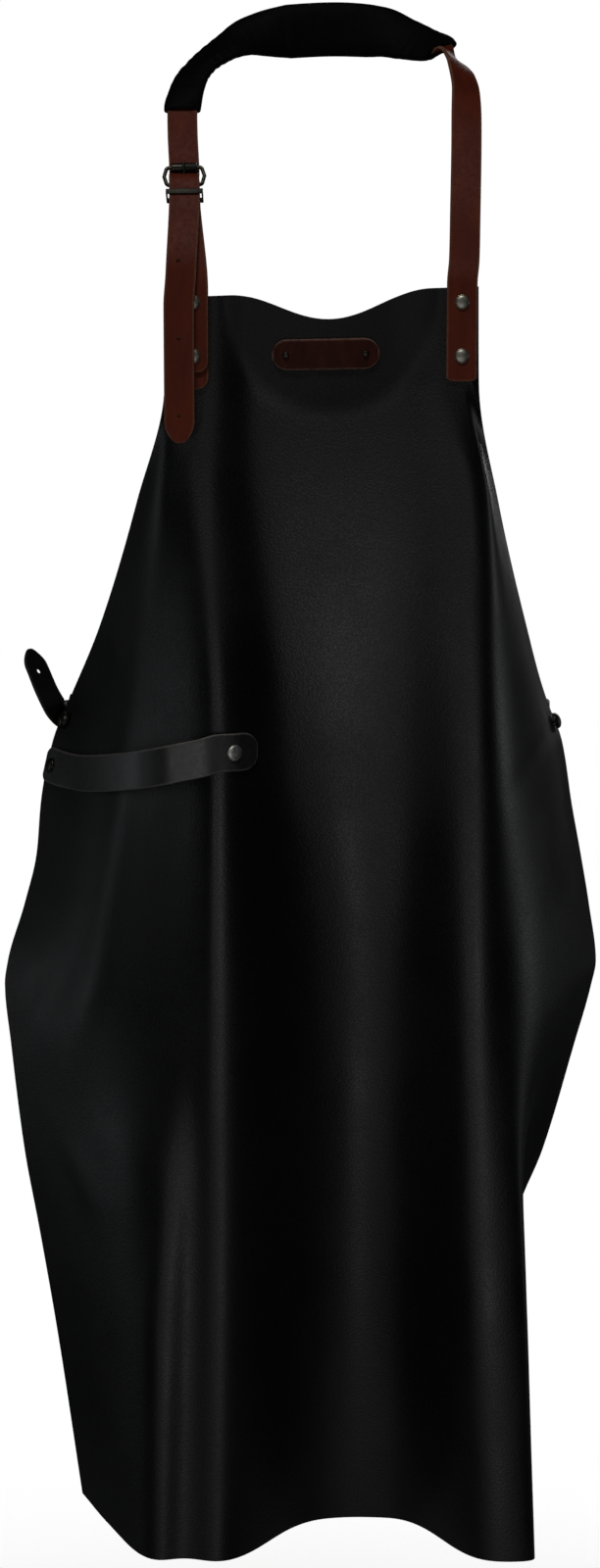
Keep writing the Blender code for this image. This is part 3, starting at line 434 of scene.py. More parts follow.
def sheetGrid(fineRows, fineColumns):
    drops = []
    for row, following in zip(edgeRows, edgeRows[1:]):
        steps = row[5] * fineRows
        drops += [row[0] + (following[0] - row[0]) * k / steps for k in range(steps)]
    drops.append(1.0)
    counts = [leftEdgeSteps * fineColumns] + [fold[2] * fineColumns for fold in folds.values()]
    grid = []
    for drop in drops:
        line = foldLine(drop)
        fade = max(0.0, 1.0 - drop * body["length"] / body["scoopFade"]) ** 2
        row = []
        for i, count in enumerate(counts + [1]):
            for k in range(count):
                share = 1.0
                if i < len(counts):
                    share = line.knots[i] + (line.knots[i + 1] - line.knots[i]) * k / count
                flat = line.at(share)
                rise = necklineAt(flat.x) * fade - drop * body["length"]
                forward = body["lean"] * max(0.0, 1.0 - leanRing(flat.x, -rise))
                row.append(place(flat.x, flat.y - forward, rise))
        grid.append(row)
    return grid


def gridFaces(rows, columns):
    faces = []
    for r in range(rows - 1):
        for c in range(columns - 1):
            a = r * columns + c
            faces.append((a, a + columns, a + columns + 1, a + 1))
    return faces


plainGrid = sheetGrid(1, 1)
plainFaces = gridFaces(len(plainGrid), len(plainGrid[0]))
plainSheet = BVHTree.FromPolygons([p for row in plainGrid for p in row], plainFaces)

sheetMesh = {"rows": 5, "columns": 4, "passes": 16, "keptEdge": 0.012, "easing": 0.030,
             "calmEdge": 0.030, "calmTop": 0.150, "wave": 0.0012, "ripple": 0.00035}

# soft creases: where they run as (across, drop) in metres, height out of the sheet and half width
creases = {
    "armTension": (((-0.107, 0.132), (-0.127, 0.265), (-0.139, 0.365), (-0.157, 0.474), (-0.181, 0.546)),
                   0.0016, 0.0085),
    "lowRidge": (((-0.106, 0.622), (-0.115, 0.712), (-0.117, 0.880)), 0.0022, 0.0110),
    "waistDent": (((-0.213, 0.529), (-0.190, 0.492), (-0.172, 0.455)), -0.0022, 0.0110),
    "kneeDent": (((-0.182, 0.598), (-0.168, 0.622), (-0.158, 0.650)), 0.0020, 0.0120),
    "hemCrease": (((-0.160, 0.822), (-0.152, 0.845), (-0.149, 0.862)), -0.0014, 0.0060),
    "flankCrease": (((0.130, 0.333), (0.150, 0.318), (0.168, 0.306)), -0.0012, 0.0070),
    "bibPull": (((0.088, 0.070), (0.099, 0.118), (0.108, 0.190)), 0.0010, 0.0070),
    "chestPull": (((-0.070, 0.120), (-0.052, 0.200), (-0.044, 0.300)), 0.0007, 0.0110),
    "hipPull": (((0.020, 0.330), (0.034, 0.450), (0.046, 0.600)), -0.0007, 0.0160),
}


def creaseHeight(x, drop):
    total = 0.0
    for line, height, half in creases.values():
        best = None
        legs = len(line) - 1
        for i, (a, b) in enumerate(zip(line, line[1:])):
            dx, dy = b[0] - a[0], b[1] - a[1]
            t = ((x - a[0]) * dx + (drop - a[1]) * dy) / (dx * dx + dy * dy)
            held = min(1.0, max(0.0, t))
            gap = sqrt((x - a[0] - dx * held) ** 2 + (drop - a[1] - dy * held) ** 2)
            if best is None or gap < best[0]:
                best = (gap, (i + held) / legs)
        if best[0] < half * 3:
            total += height * exp(-(best[0] / half) ** 2) * (0.25 + 0.75 * sin(pi * best[1]))
    return total


def softened(grid, passes):  # rounder folds, with both edges and the top left where they are
    columns = len(grid[0])
    for row in grid:
        for _ in range(passes):
            last = list(row)
            for c in range(1, columns - 1):
                drop = place(0, 0, 0).z - last[c].z
                room = min((last[c] - last[0]).length, (last[c] - last[-1]).length, drop)
                held = min(1.0, max(0.0, (room - sheetMesh["keptEdge"]) / sheetMesh["easing"]))
                row[c] = last[c].lerp((last[c - 1] + last[c] * 2 + last[c + 1]) / 4, held)
    return grid


def sheetPiece():
    grid = softened(sheetGrid(sheetMesh["rows"], sheetMesh["columns"]), sheetMesh["passes"])
    rows, columns = len(grid), len(grid[0])
    points, flats, matts = [], [], []
    for r in range(rows):
        along = 0.0
        middle = sum((grid[r][c + 1] - grid[r][c]).length for c in range(columns - 1)) / 2
        for c in range(columns):
            here = grid[r][c]
            if c:
                along += (here - grid[r][c - 1]).length
            across = grid[r][min(c + 1, columns - 1)] - grid[r][max(c - 1, 0)]
            down = grid[min(r + 1, rows - 1)][c] - grid[max(r - 1, 0)][c]
            out = down.cross(across).normalized()  # towards the front
            drop = place(0, 0, 0).z - here.z
            edge = min(along, 2 * middle - along, drop + 0.02)
            calm = min(1.0, edge / sheetMesh["calmEdge"])
            wave = noise.noise(Vector((here.x * 9.0, here.y * 9.0, here.z * 3.2))) * sheetMesh["wave"]
            ripple = noise.noise(Vector((here.x * 26.0 + 5.0, here.y * 26.0, here.z * 10.0)))
            wave += ripple * sheetMesh["ripple"]
            wave *= min(1.0, drop / sheetMesh["calmTop"])
            points.append(here + out * calm * (creaseHeight(here.x, drop) + wave))
            flats.append((along - middle, -drop))
            matts.append(min(1.0, max(0.0, (1.15 - leanRing(here.x, drop)) / 0.3)))  # dull by the neckline
    coats = [finish["bodyFront"], finish["bodyBack"], finish["bodyEdge"]]
    piece = meshPiece("apronSheet", points, gridFaces(rows, columns), coats, flats, {"matt": matts})
    wall = piece.modifiers.new("leather", "SOLIDIFY")
    wall.thickness = body["leather"]
    wall.offset = -1.0
    wall.material_offset = 1
    wall.material_offset_rim = 2
    applyAll(piece)
    onlySelect(piece)
    bpy.ops.object.shade_smooth_by_angle(angle=radians(50))
    return hand(piece, "apron_body")


sheet = sheetPiece()
print("sheet made")


# where things sit on the sheet
def onSheet(across, rise):
    point, out, _, _ = plainSheet.ray_cast(place(across, -1.0, rise), Vector((0, 1, 0)))
    return point, (-out if out.y > 0 else out)


def edgeWalk(side, rise, inset):
    height = rise - body["shoulderDrop"]
    column = 0 if side < 0 else -1
    upper = max(r for r in range(len(plainGrid) - 1) if plainGrid[r][column].z >= height)
    top, low = plainGrid[upper], plainGrid[upper + 1]
    share = (top[column].z - height) / (top[column].z - low[column].z)
    line = [a.lerp(b, share) for a, b in zip(top, low)]
    if side > 0:
        line.reverse()
    left = inset
    for a, b in zip(line, line[1:]):
        step = (b - a).length
        if left <= step:
            return a.lerp(b, left / step), (a - b).normalized()
        left -= step


def flankSpot(side, rise, inset):
    point, back = edgeWalk(side, rise, inset)
    above, _ = edgeWalk(side, rise + 0.008, inset)
    below, _ = edgeWalk(side, rise - 0.008, inset)
    out = back.cross(above - below).normalized()
    out = -out if out.y > 0 else out
    return point, out, (Vector((0, 0, 1)) - out * out.z).normalized()


# straps
def roundedEnd(distance, half, rounding):
    if distance >= rounding:
        return half
    rest = rounding - distance
    return half - rounding + sqrt(max(rounding * rounding - rest * rest, 0.0))


def pointedEnd(distance, half, reach, blunt, power):
    rise = sin(pi / 2 * min(1.0, max(0.0, distance) / reach)) ** power
    return half * min(1.0, blunt + (1.0 - blunt) * rise)


def strapPiece(name, points, leans, widthAt, full, thick, material):
    line = SmoothLine(points)
    length = line.length
    stops = [0.0]
    while stops[-1] < length - 1e-6:  # closer together near both ends
        near = min(stops[-1], length - stops[-1])
        step = 0.0004 if near < 0.0012 else 0.0008 if near < 0.014 else 0.0022
        stops.append(min(length, stops[-1] + step))
    if length - stops[-2] < 0.0002:
        stops.pop(-2)
    shares = [s / length for s in stops]
    centres = [line.at(s) for s in shares]
    ways = [[lean[k] for lean in leans] for k in range(3)]
    turns = [Vector([smoothRead(line.knots, way, s) for way in ways]) for s in shares]
    insets = [0.0, 0.0003, 0.0006, 0.0014, 0.0024, strapStock["rim"]]
    spans = [1.0 - inset / full for inset in insets] + [0.45, 0.15]
    bevel = strapStock["bevel"]
    top = [(spans[k], 1.0) for k in range(2, 8)]  # (share of half width, share of half thickness)
    corner = [(spans[1], 1.0 - 0.3 * bevel / (thick / 2)), (spans[0], 1.0 - bevel / (thick / 2))]
    half = list(reversed(top)) + corner
    quarter = half + [(s, -t) for s, t in reversed(half)]
    cross = quarter + [(-s, t) for s, t in reversed(quarter)]  # round the strap once
    rings, flats, rims = [], [], []
    for i, centre in enumerate(centres):
        run = (centres[min(i + 1, len(centres) - 1)] - centres[max(i - 1, 0)]).normalized()
        width = (turns[i] - run * turns[i].dot(run)).normalized()
        face = width.cross(run).normalized()
        reach = widthAt(stops[i], length)
        toEnd = min(stops[i], length - stops[i])
        slim = 0.62 + 0.38 * min(1.0, toEnd / bevel) ** 0.5
        for s, t in cross:
            rings.append(centre + width * s * reach + face * t * slim * thick / 2)
            flats.append((stops[i], s * reach))
            side = (1.0 - abs(s)) * reach if reach > 0.5 * full else (1.0 - abs(s)) * full
            toEdge = min(side, toEnd, max(0.0, toEnd * 0.5 + side * 0.5) if toEnd < 0.008 else side)
            rims.append(max(0.0, 1.0 - toEdge / strapStock["rim"]) if abs(t) > 0.99 else 1.0)
    size = len(cross)
    faces = []
    for i in range(len(centres) - 1):
        a = i * size
        for k in range(size):
            n = (k + 1) % size
            faces.append((a + k, a + n, a + size + n, a + size + k))
    faces.append(tuple(range(size)))
    faces.append(tuple(range(len(rings) - size, len(rings))))
    piece = meshPiece(name, rings, faces, [material], flats, {"rim": rims})
    turnOut(piece)
    onlySelect(piece)
    bpy.ops.object.shade_smooth_by_angle(angle=radians(42))
    return piece, line


# neck strap from its riveted end to the tip of its tail: across, back, rise as shares, way of its width
loop = (
    (0.934, 0.025, 0.13, (1.00, 0.00, 0.00)), (0.943, 0.110, 0.33, (1.00, 0.00, 0.00)),
    (0.960, 0.345, 0.66, (1.00, 0.05, 0.00)), (0.965, 0.510, 0.81, (0.90, 0.43, 0.00)),
    (0.945, 0.620, 0.89, (0.75, 0.66, 0.00)), (0.920, 0.690, 0.930, (0.50, 0.86, 0.00)),
    (0.875, 0.750, 0.965, (0.10, 0.99, 0.10)), (0.820, 0.800, 1.000, (0.00, 0.92, 0.40)),
    (0.740, 0.850, 1.010, (0.00, 0.80, 0.60)), (0.570, 0.930, 1.045, (0.00, 0.55, 0.83)),
    (0.400, 0.970, 1.077, (0.00, 0.25, 0.97)), (0.100, 1.000, 1.089, (0.00, 0.00, 1.00)),
    (-0.200, 0.985, 1.080, (0.00, 0.06, 1.00)), (-0.450, 0.930, 1.058, (-0.05, 0.50, 0.86)),
    (-0.640, 0.850, 1.004, (-0.28, 0.80, 0.52)), (-0.780, 0.780, 0.942, (-0.46, 0.82, 0.32)),
    (-0.868, 0.700, 0.875, (-0.70, 0.68, 0.18)), (-0.905, 0.610, 0.810, (-0.90, 0.42, 0.05)),
    (-0.925, 0.545, 0.735, (-1.00, 0.03, 0.00)), (-0.920, 0.450, 0.64, (-1.00, 0.00, 0.00)),
)
neckStrap = {"endX": 0.0920, "endDrop": 0.058, "endHalf": 0.01225, "half": 0.0100, "tailX": -0.0930,
             "tailDrop": 0.098, "firstHole": 0.0200, "holePitch": 0.0500, "holes": 3, "holeRadius": 0.0013,
             "holeDepth": 0.0017, "widenFrom": 0.006, "widenOver": 0.020, "tip": (0.014, 0.12, 0.6)}
neckBuckle = {"heel": (-0.0900, 0.024, 0.0695), "lean": (-0.035, 0.45, 1.0), "strapX": -0.0840,
              "backDrop": 0.063, "frontDrop": 0.052, "below": 0.009, "bendDrop": 0.03}
gap, stock = strapStock["gap"], strapStock["leather"]
heelClear = buckleStock["bar"] + 3 * gap + 1.5 * stock
foldRadius = buckleStock["bar"] + gap + stock / 2
riveted = {"dome": 0.0020, "cornerDome": 0.0045, "shank": 0.0014}


def throughBuckle(heel, up, face, farRadius):
    farClear = farRadius + gap + stock / 2
    reach = (farClear + heelClear) / buckleStock["length"]
    slant = asin(reach) if reach < 1.0 else pi / 2
    far = heel + up * buckleStock["length"]
    turn = [face * cos(slant * s) + up * sin(slant * s) for s in (0.0, 0.5, 1.0)]
    return [far - way * farClear for way in turn] + [heel + way * heelClear for way in reversed(turn)]


neckHeel = place(*neckBuckle["heel"])
neckUp = Vector(neckBuckle["lean"]).normalized()
neckAcross = (Vector((1, 0, 0)) - neckUp * neckUp.x).normalized()
neckFace = neckAcross.cross(neckUp).normalized()


def neckRoute():
    seat = -(gap + stock / 2)
    x, drop = neckStrap["endX"], neckStrap["endDrop"]
    points = [place(x, seat, -drop), place(x, seat, -drop * 0.4), place(x, seat, necklineAt(x) + 0.002)]
    leans = [Vector((1, 0, 0))] * 3
    for across, back, rise, lean in loop:
        x, y, z = across * body["loopHalf"], back * body["loopDepth"], rise * body["shoulderDrop"]
        points.append(place(x, y, z))
        leans.append(Vector(lean))
    passed = throughBuckle(neckHeel, neckUp, neckFace, buckleStock["roller"])
    points += passed
    points.append(neckHeel - neckUp * neckBuckle["below"] + neckFace * heelClear)
    stack = 4 * gap + 2.5 * stock + riveted["dome"]
    tailX, tailDrop = neckStrap["tailX"], neckStrap["tailDrop"]
    points.append(place(0.5 * (tailX + neckBuckle["heel"][0]), -stack * 0.9, 0.012))
    points += [place(tailX, -stack, -drop) for drop in (0.010, tailDrop * 0.5, tailDrop)]
    return points, leans + [Vector((-1, 0, 0))] * (len(passed) + 5)


def neckWidth(along, length):
    widen = neckStrap["endDrop"] + neckStrap["widenFrom"] - along
    share = min(1.0, max(0.0, widen / neckStrap["widenOver"]))
    plain = neckStrap["half"] + (neckStrap["endHalf"] - neckStrap["half"]) * share
    return min(roundedEnd(along, plain, strapStock["rounding"]),
               pointedEnd(length - along, neckStrap["half"], *neckStrap["tip"]))


neckPoints, neckLeans = neckRoute()
strap, neckLine = strapPiece("neckStrap", neckPoints, neckLeans, neckWidth, neckStrap["endHalf"], stock,
                             finish["brownStrap"])
for number in range(neckStrap["holes"]):  # punched most of the way through
    rise = neckStrap["firstHole"] - number * neckStrap["holePitch"]
    shell = BVHTree.FromObject(strap, bpy.context.evaluated_depsgraph_get())
    spot, _, _, _ = shell.ray_cast(place(neckStrap["tailX"], -1.0, rise), Vector((0, 1, 0)))
    cutAway(strap, drill(spot, Vector((0, 1, 0)), neckStrap["holeRadius"], 2 * neckStrap["holeDepth"]))
hand(strap, "neck_strap")


def foldedPiece(name, backLine, heel, up, face, frontLine, leans, half, material):
    points = list(backLine)
    for k in range(7):
        a = pi - pi * k / 6
        points.append(heel + face * foldRadius * cos(a) + up * foldRadius * sin(a))
    points += frontLine
    rounding = strapStock["rounding"]

    def width(along, length):
        return min(roundedEnd(along, half, rounding), roundedEnd(length - along, half, rounding))

    piece, _ = strapPiece(name, points, leans, width, half, stock, material)
    slot = {"half": (buckleStock["prong"] + 1.5 * gap, 0.0062, 0.0070), "lift": 0.0030}
    bpy.ops.object.select_all(action="DESELECT")
    bpy.ops.mesh.primitive_cube_add(size=2.0, scale=slot["half"])
    tool = bpy.context.object
    turned = stood(heel + up * slot["lift"], face.cross(up).normalized(), up, face)
    settle(tool, turned @ Matrix.Diagonal((*slot["half"], 1.0)))
    cutAway(piece, tool)
    return piece


layerBack = -(gap + stock / 2)
layerFront = -(2 * gap + 1.5 * stock)
atStrap = neckBuckle["strapX"]
underHeel = neckHeel - neckUp * neckBuckle["below"]
bendDrop = neckBuckle["bendDrop"]
backLayer = [place(atStrap, layerBack, -drop) for drop in (neckBuckle["backDrop"], bendDrop, 0.0)]
frontLayer = [place(atStrap, layerFront, -drop) for drop in (0.0, bendDrop, neckBuckle["frontDrop"])]
buckleStrap = foldedPiece(
    "neckBuckleStrap", backLayer + [underHeel - neckFace * foldRadius], neckHeel, neckUp, neckFace,
    [underHeel + neckFace * foldRadius] + frontLayer, [Vector((1, 0, 0))] * 15, neckStrap["half"],
    finish["brownStrap"])
hand(buckleStrap, "neck_buckle_strap")
print("neck straps made")

# pad round the loop; first and last are rows of the loop, counted from 0
pad = {"first": 7, "last": 18, "half": 0.0180, "thick": 0.0090, "taper": 0.31, "necking": 0.15,
       "wall": 0.0015, "seamIn": 0.0036, "seamHalf": 0.0007, "seamDepth": 0.0009,
       "wrinkle": 0.00045, "pleat": 0.00030}


def padPiece():
    first = neckLine.knots[3 + pad["first"]]
    last = neckLine.knots[3 + pad["last"]]
    count, around = 150, 36
    outer, inner, flats = [], [], []
    for i in range(count + 1):
        share = first + (last - first) * i / count
        part = i / count
        centre = neckLine.at(share)
        step = 0.0015 / neckLine.length
        run = (neckLine.at(share + step) - neckLine.at(share - step)).normalized()
        lean = Vector([smoothRead(neckLine.knots, [way[k] for way in neckLeans], share) for k in range(3)])
        width = (lean - run * lean.dot(run)).normalized()
        face = width.cross(run).normalized()
        slimmer = pad["taper"] * max(0.0, (part - 0.5) / 0.5) ** 0.7
        slimmer += pad["necking"] * max(0.0, (0.25 - part) / 0.25)
        full = pad["half"] * (1.0 - slimmer)
        ends = min(part, 1.0 - part) * (last - first) * neckLine.length
        lip = min(1.0, 0.80 + 0.20 * sqrt(min(1.0, ends / 0.003)))  # the sleeve's mouth closes a little
        for k in range(around):
            a = 2 * pi * k / around
            s = abs(cos(a)) ** 0.62 * (1 if cos(a) >= 0 else -1)
            t = sin(a) * (1.0 - 0.10 * abs(cos(a)) ** 4)
            wrinkle = noise.noise(Vector((part * 42.0, cos(a) * 1.3, sin(a) * 1.1))) * pad["wrinkle"]
            bend = max(0.0, 1.0 - abs(part - 0.80) / 0.20) + 0.6 * max(0.0, 1.0 - abs(part - 0.10) / 0.12)
            wrinkle += sin(part * 210.0 + cos(a) * 1.5) * pad["pleat"] * bend
            fromSeam = (s * full + full - pad["seamIn"]) / pad["seamHalf"]
            seam = -pad["seamDepth"] * exp(-fromSeam ** 2)  # line beside the sewn edge
            high = pad["thick"] / 2 * lip * t
            grow = 1.0 if high >= 0 else -1.0
            relief = grow * (wrinkle + seam) * abs(sin(a)) ** 0.5
            outer.append(centre + width * s * (full * (0.9 + 0.1 * lip)) + face * (high + relief))
            inner.append(centre + width * s * (full - pad["wall"]) * (0.9 + 0.1 * lip)
                         + face * (pad["thick"] / 2 - pad["wall"]) * 0.9 * lip * t)
            flats.append((share * neckLine.length, k / around * 0.085))
    faces = []
    inside = len(outer)
    for i in range(count):
        for k in range(around):
            n = (k + 1) % around
            a, b = i * around, (i + 1) * around
            faces.append((a + k, a + n, b + n, b + k))
            faces.append((inside + a + k, inside + b + k, inside + b + n, inside + a + n))
    for a in (0, count * around):
        for k in range(around):
            n = (k + 1) % around
            faces.append((a + k, inside + a + k, inside + a + n, a + n))
    piece = meshPiece("neckPad", outer + inner, faces, [finish["pad"]], flats + flats)
    turnOut(piece)
    hand(piece, "neck_pad")


padPiece()
print("pad made")


# a ring drawn out step by step, as on a lathe; rings are (radius, height)
def ringChain(name, rings, sides, matrix, material, closed=False):
    bpy.ops.object.select_all(action="DESELECT")
    start = rings[0]
    bpy.ops.mesh.primitive_circle_add(vertices=sides, radius=start[0], location=(0, 0, start[1]))
    piece = bpy.context.object
    piece.name = name
    piece.data.name = name
    bpy.ops.object.transform_apply(location=True, rotation=False, scale=False)
    bpy.ops.object.mode_set(mode="EDIT")
    bpy.ops.mesh.select_mode(type="VERT")
    bpy.ops.mesh.select_all(action="SELECT")
    for before, after in zip(rings, rings[1:] + ([start] if closed else [])):
        bpy.ops.mesh.extrude_region_move(TRANSFORM_OT_translate={"value": (0, 0, after[1] - before[1])})
        grow = after[0] / before[0]
        bpy.ops.transform.resize(value=(grow, grow, 1.0), center_override=(0, 0, after[1]))
    bpy.ops.mesh.select_all(action="SELECT")
    if closed:
        bpy.ops.mesh.remove_doubles(threshold=0.00001)
    else:
        bpy.ops.mesh.select_all(action="DESELECT")
        bpy.ops.mesh.select_non_manifold()
        bpy.ops.mesh.fill_holes(sides=0)
    bpy.ops.mesh.select_all(action="SELECT")
    bpy.ops.mesh.normals_make_consistent(inside=False)
    bpy.ops.object.mode_set(mode="OBJECT")
    crowned(piece, [min(1.0, max(0.0, v.co.z / max(r[1] for r in rings))) for v in piece.data.vertices])
    piece.data.materials.append(material)
    settle(piece, matrix)
    bpy.ops.object.shade_smooth_by_angle(angle=radians(35))
    return piece


def crowned(piece, values):  # how much each place is rubbed bright, from 0 to 1
    written = piece.data.attributes.new("crown", "FLOAT", "POINT")
    written.data.foreach_set("value", values)


def rivetPiece(name, node, seat, out, radius, dome, front, back, material):
    head, tail = front + gap, -back - gap
    rings = []
    for k in range(1, 9):  # crown, from the middle outwards
        a = pi / 2 * k / 8
        rings.append((radius * 0.97 * sin(a), head + dome * (0.10 + 0.90 * cos(a) ** 0.8)))
    rings += [(radius, head + dome * 0.06), (radius, head + 0.0001), (radius - 0.0001, head),
              (riveted["shank"], head), (riveted["shank"], tail),
              (radius * 0.84, tail), (radius * 0.86, tail - dome * 0.15),
              (radius * 0.78, tail - dome * 0.42), (radius * 0.30, tail - dome * 0.45)]
    hand(ringChain(name, rings, 40, axes(seat, out), material), node)


rivets = {"strap": 0.0048, "towel": 0.0055, "corner": 0.0062, "patch": 0.0022,
          "upperDrop": 0.0065, "lowerDrop": 0.0415}
front = Vector((0, -1, 0))
for label, drop in (("Upper", rivets["upperDrop"]), ("Lower", rivets["lowerDrop"])):
    seat, _ = onSheet(neckStrap["endX"], -drop)
    rivetPiece("neckRivetRight" + label, "neck_rivet_right_" + label.lower(), seat, front, rivets["strap"],
               riveted["dome"], gap + stock, body["leather"], finish["rivet"])
    seat, _ = onSheet(atStrap, -drop)
    rivetPiece("neckRivetLeft" + label, "neck_rivet_left_" + label.lower(), seat, front, rivets["strap"],
               riveted["dome"], 2 * gap + 2 * stock, body["leather"], finish["rivet"])


def framePiece(name, node, heel, up, face, strapWidth):
    bar, length = buckleStock["bar"], buckleStock["length"]
    corner = bar * 1.8
    half = strapWidth / 2 + 2 * gap + bar
    bpy.ops.object.select_all(action="DESELECT")
    bpy.ops.mesh.primitive_torus_add(major_segments=48, minor_segments=16, major_radius=corner,
                                     minor_radius=bar)
    piece = bpy.context.object
    piece.name = name
    piece.data.name = name
    for vertex in piece.data.vertices:  # the ring's quarters move out to the corners
        x, y, z = vertex.co
        ringX = x / sqrt(x * x + y * y)
        ringY = y / sqrt(x * x + y * y)
        pushX = 1.0 if ringX > 0.01 else -1.0 if ringX < -0.01 else 0.0
        pushY = 1.0 if ringY > 0.01 else -1.0 if ringY < -0.01 else 0.0
        bulge = buckleStock["bulge"] if pushY == 0.0 else 0.0
        vertex.co = (x + pushX * (half - corner + bulge), length / 2 + y + pushY * (length / 2 - corner), z)
    across = face.cross(up).normalized()
    crowned(piece, [min(1.0, max(0.0, 0.5 + v.co.z / bar * 0.5)) for v in piece.data.vertices])
    piece.data.materials.append(finish["buckle"])
    settle(piece, stood(heel, across, up, face))
    bpy.ops.object.shade_smooth()
    hand(piece, node)
    return across, half


def wirePiece(name, node, points, radius):
    line = SmoothLine(points)
    wire = bpy.data.curves.new(name, "CURVE")
    wire.dimensions = "3D"
    wire.bevel_depth = radius
    wire.bevel_resolution = 3
    wire.use_fill_caps = True
    spline = wire.splines.new("POLY")
    count = 40
    spline.points.add(count)
    for i in range(count + 1):
        spline.points[i].co = (*line.at(i / count), 1.0)
        spline.points[i].radius = 1.0 - 0.35 * max(0.0, i / count - 0.9) / 0.1
    piece = bpy.data.objects.new(name, wire)
    bpy.context.collection.objects.link(piece)
    onlySelect(piece)
    bpy.ops.object.convert(target="MESH")
    piece = bpy.context.object
    piece.data.materials.clear()
    piece.data.materials.append(finish["buckle"])
    crowned(piece, [0.6] * len(piece.data.vertices))
    turnOut(piece)
    bpy.ops.object.shade_smooth_by_angle(angle=radians(40))
    hand(piece, node)


def bucklePieces(prefix, nodes, heel, up, face, strapWidth, farRadius, withRoller):
    across, half = framePiece(prefix + "Frame", nodes + "_frame", heel, up, face, strapWidth)
    bar, prong = buckleStock["bar"], buckleStock["prong"]
    if withRoller:
        inner, outer = bar + gap, buckleStock["roller"]
        reach = half - 2.8 * bar
        ease = 0.0004
        rings = [(outer - ease, -reach), (outer, ease - reach), (outer, reach - ease), (outer - ease, reach),
                 (inner, reach), (inner, -reach)]
        seat = axes(heel + up * buckleStock["length"], across)
        roller = ringChain(prefix + "Roller", rings, 48, seat, finish["buckle"], True)
        hand(roller, nodes + "_roller")
    ring = bar + gap + prong
    hook = []
    for k in reversed(range(8)):
        a = pi * 0.28 - k * pi / 5
        hook.append(heel + up * ring * cos(a) + face * ring * sin(a))
    tip = heel + up * (buckleStock["length"] + farRadius * 0.8) + face * (farRadius + gap + prong)
    wirePiece(prefix + "Prong", nodes + "_prong", hook + [(hook[-1] + tip) / 2, tip], prong)
    return hook[-1], tip


def prongHole(piece, start, tip):
    cutAway(piece, drill((start + tip) / 2, tip - start, buckleStock["prong"] + 1.5 * gap,
                         (tip - start).length * 1.5))


hookEnd, prongTip = bucklePieces("neckBuckle", "neck_buckle", neckHeel, neckUp, neckFace,
                                 2 * neckStrap["half"], buckleStock["roller"], True)
prongHole(strap, hookEnd, prongTip)

keeper = {"height": 0.0035, "wall": 0.0010, "drop": 0.0085, "edge": 0.00025}


def keeperPiece():
    tailReach = buckleStock["bar"] + 2 * gap + 2 * stock
    layerReach = foldRadius + stock / 2
    centre = neckHeel - neckUp * keeper["drop"] + neckFace * (tailReach - layerReach) / 2
    halfAcross = neckStrap["half"] + 3 * gap
    halfOut = (tailReach + layerReach) / 2 + 2 * gap
    piece = block((halfAcross + keeper["wall"], halfOut + keeper["wall"], keeper["height"] / 2))
    piece.name = "neckKeeper"
    piece.data.name = "neckKeeper"
    cutAway(piece, block((halfAcross, halfOut, keeper["height"])))
    soft = piece.modifiers.new("soft", "BEVEL")
    soft.width = keeper["edge"]
    soft.segments = 3
    applyAll(piece)
    turnOut(piece)
    crowned(piece, [0.35] * len(piece.data.vertices))
    piece.data.materials.append(finish["buckle"])
    settle(piece, stood(centre, Vector((1, 0, 0)), -neckFace, neckUp))
    bpy.ops.object.shade_smooth_by_angle(angle=radians(35))
    hand(piece, "neck_keeper")


keeperPiece()
print("neck buckle made")

# bare patch on the bib
patch = {"length": 0.0700, "width": 0.0205, "centre": (0.0030, -0.0400), "spread": 0.0260,
         "leather": 0.0018, "seat": 0.0008, "tilt": 0.02}


def patchPiece():
    points, leans = [], []
    count = 12
    for i in range(count + 1):
        x = patch["centre"][0] + patch["length"] * (i / count - 0.5)
        rise = patch["centre"][1] + patch["tilt"] * (x - patch["centre"][0])
        high, out = onSheet(x, rise + patch["width"] / 2)
        low, _ = onSheet(x, rise - patch["width"] / 2)
        lean = (high - low).normalized()
        out = (out - lean * out.dot(lean)).normalized()
        points.append((high + low) / 2 + out * (patch["seat"] + patch["leather"] / 2))
        leans.append(lean)
    half = patch["width"] / 2

    def width(along, length):
        return max(0.0012, roundedEnd(min(along, length - along), half, half))

    piece, _ = strapPiece("bibPatch", points, leans, width, half, patch["leather"], finish["patch"])
    hand(piece, "bib_patch")
    for label, side in (("Left", -1), ("Right", 1)):
        seat, out = onSheet(patch["centre"][0] + side * patch["spread"],
                            patch["centre"][1] + patch["tilt"] * side * patch["spread"])
        rivetPiece("patchRivet" + label, "patch_rivet_" + label.lower(), seat, out, rivets["patch"],
                   riveted["dome"] / 2, patch["seat"] + patch["leather"], body["leather"],
                   finish["smallRivet"])


patchPiece()

# towel strap, clear of the sheet: across and back as shares, then how far it has dropped towards its side end
towelRoute = ((-0.350, -0.020, 0.090), (-0.430, -0.012, 0.200), (-0.520, 0.055, 0.360),
              (-0.620, 0.215, 0.560), (-0.715, 0.450, 0.780), (-0.765, 0.630, 0.900))
towel = {"rivet": (-0.0594, -0.305), "width": 0.0258, "reach": 0.0155, "belowWaist": 0.032,
         "sideInset": 0.016, "endInset": 0.004}
waist = {"drop": 0.309, "inset": 0.010, "half": 0.0100, "heel": (0.005, 0.026, 0.0),
         "lean": (0.05, 1.0, 0.0), "below": 0.010, "backEnd": 0.011, "hole": 0.0020, "holeFromTip": 0.0185,
         "tip": (0.015, 0.15, 0.8)}


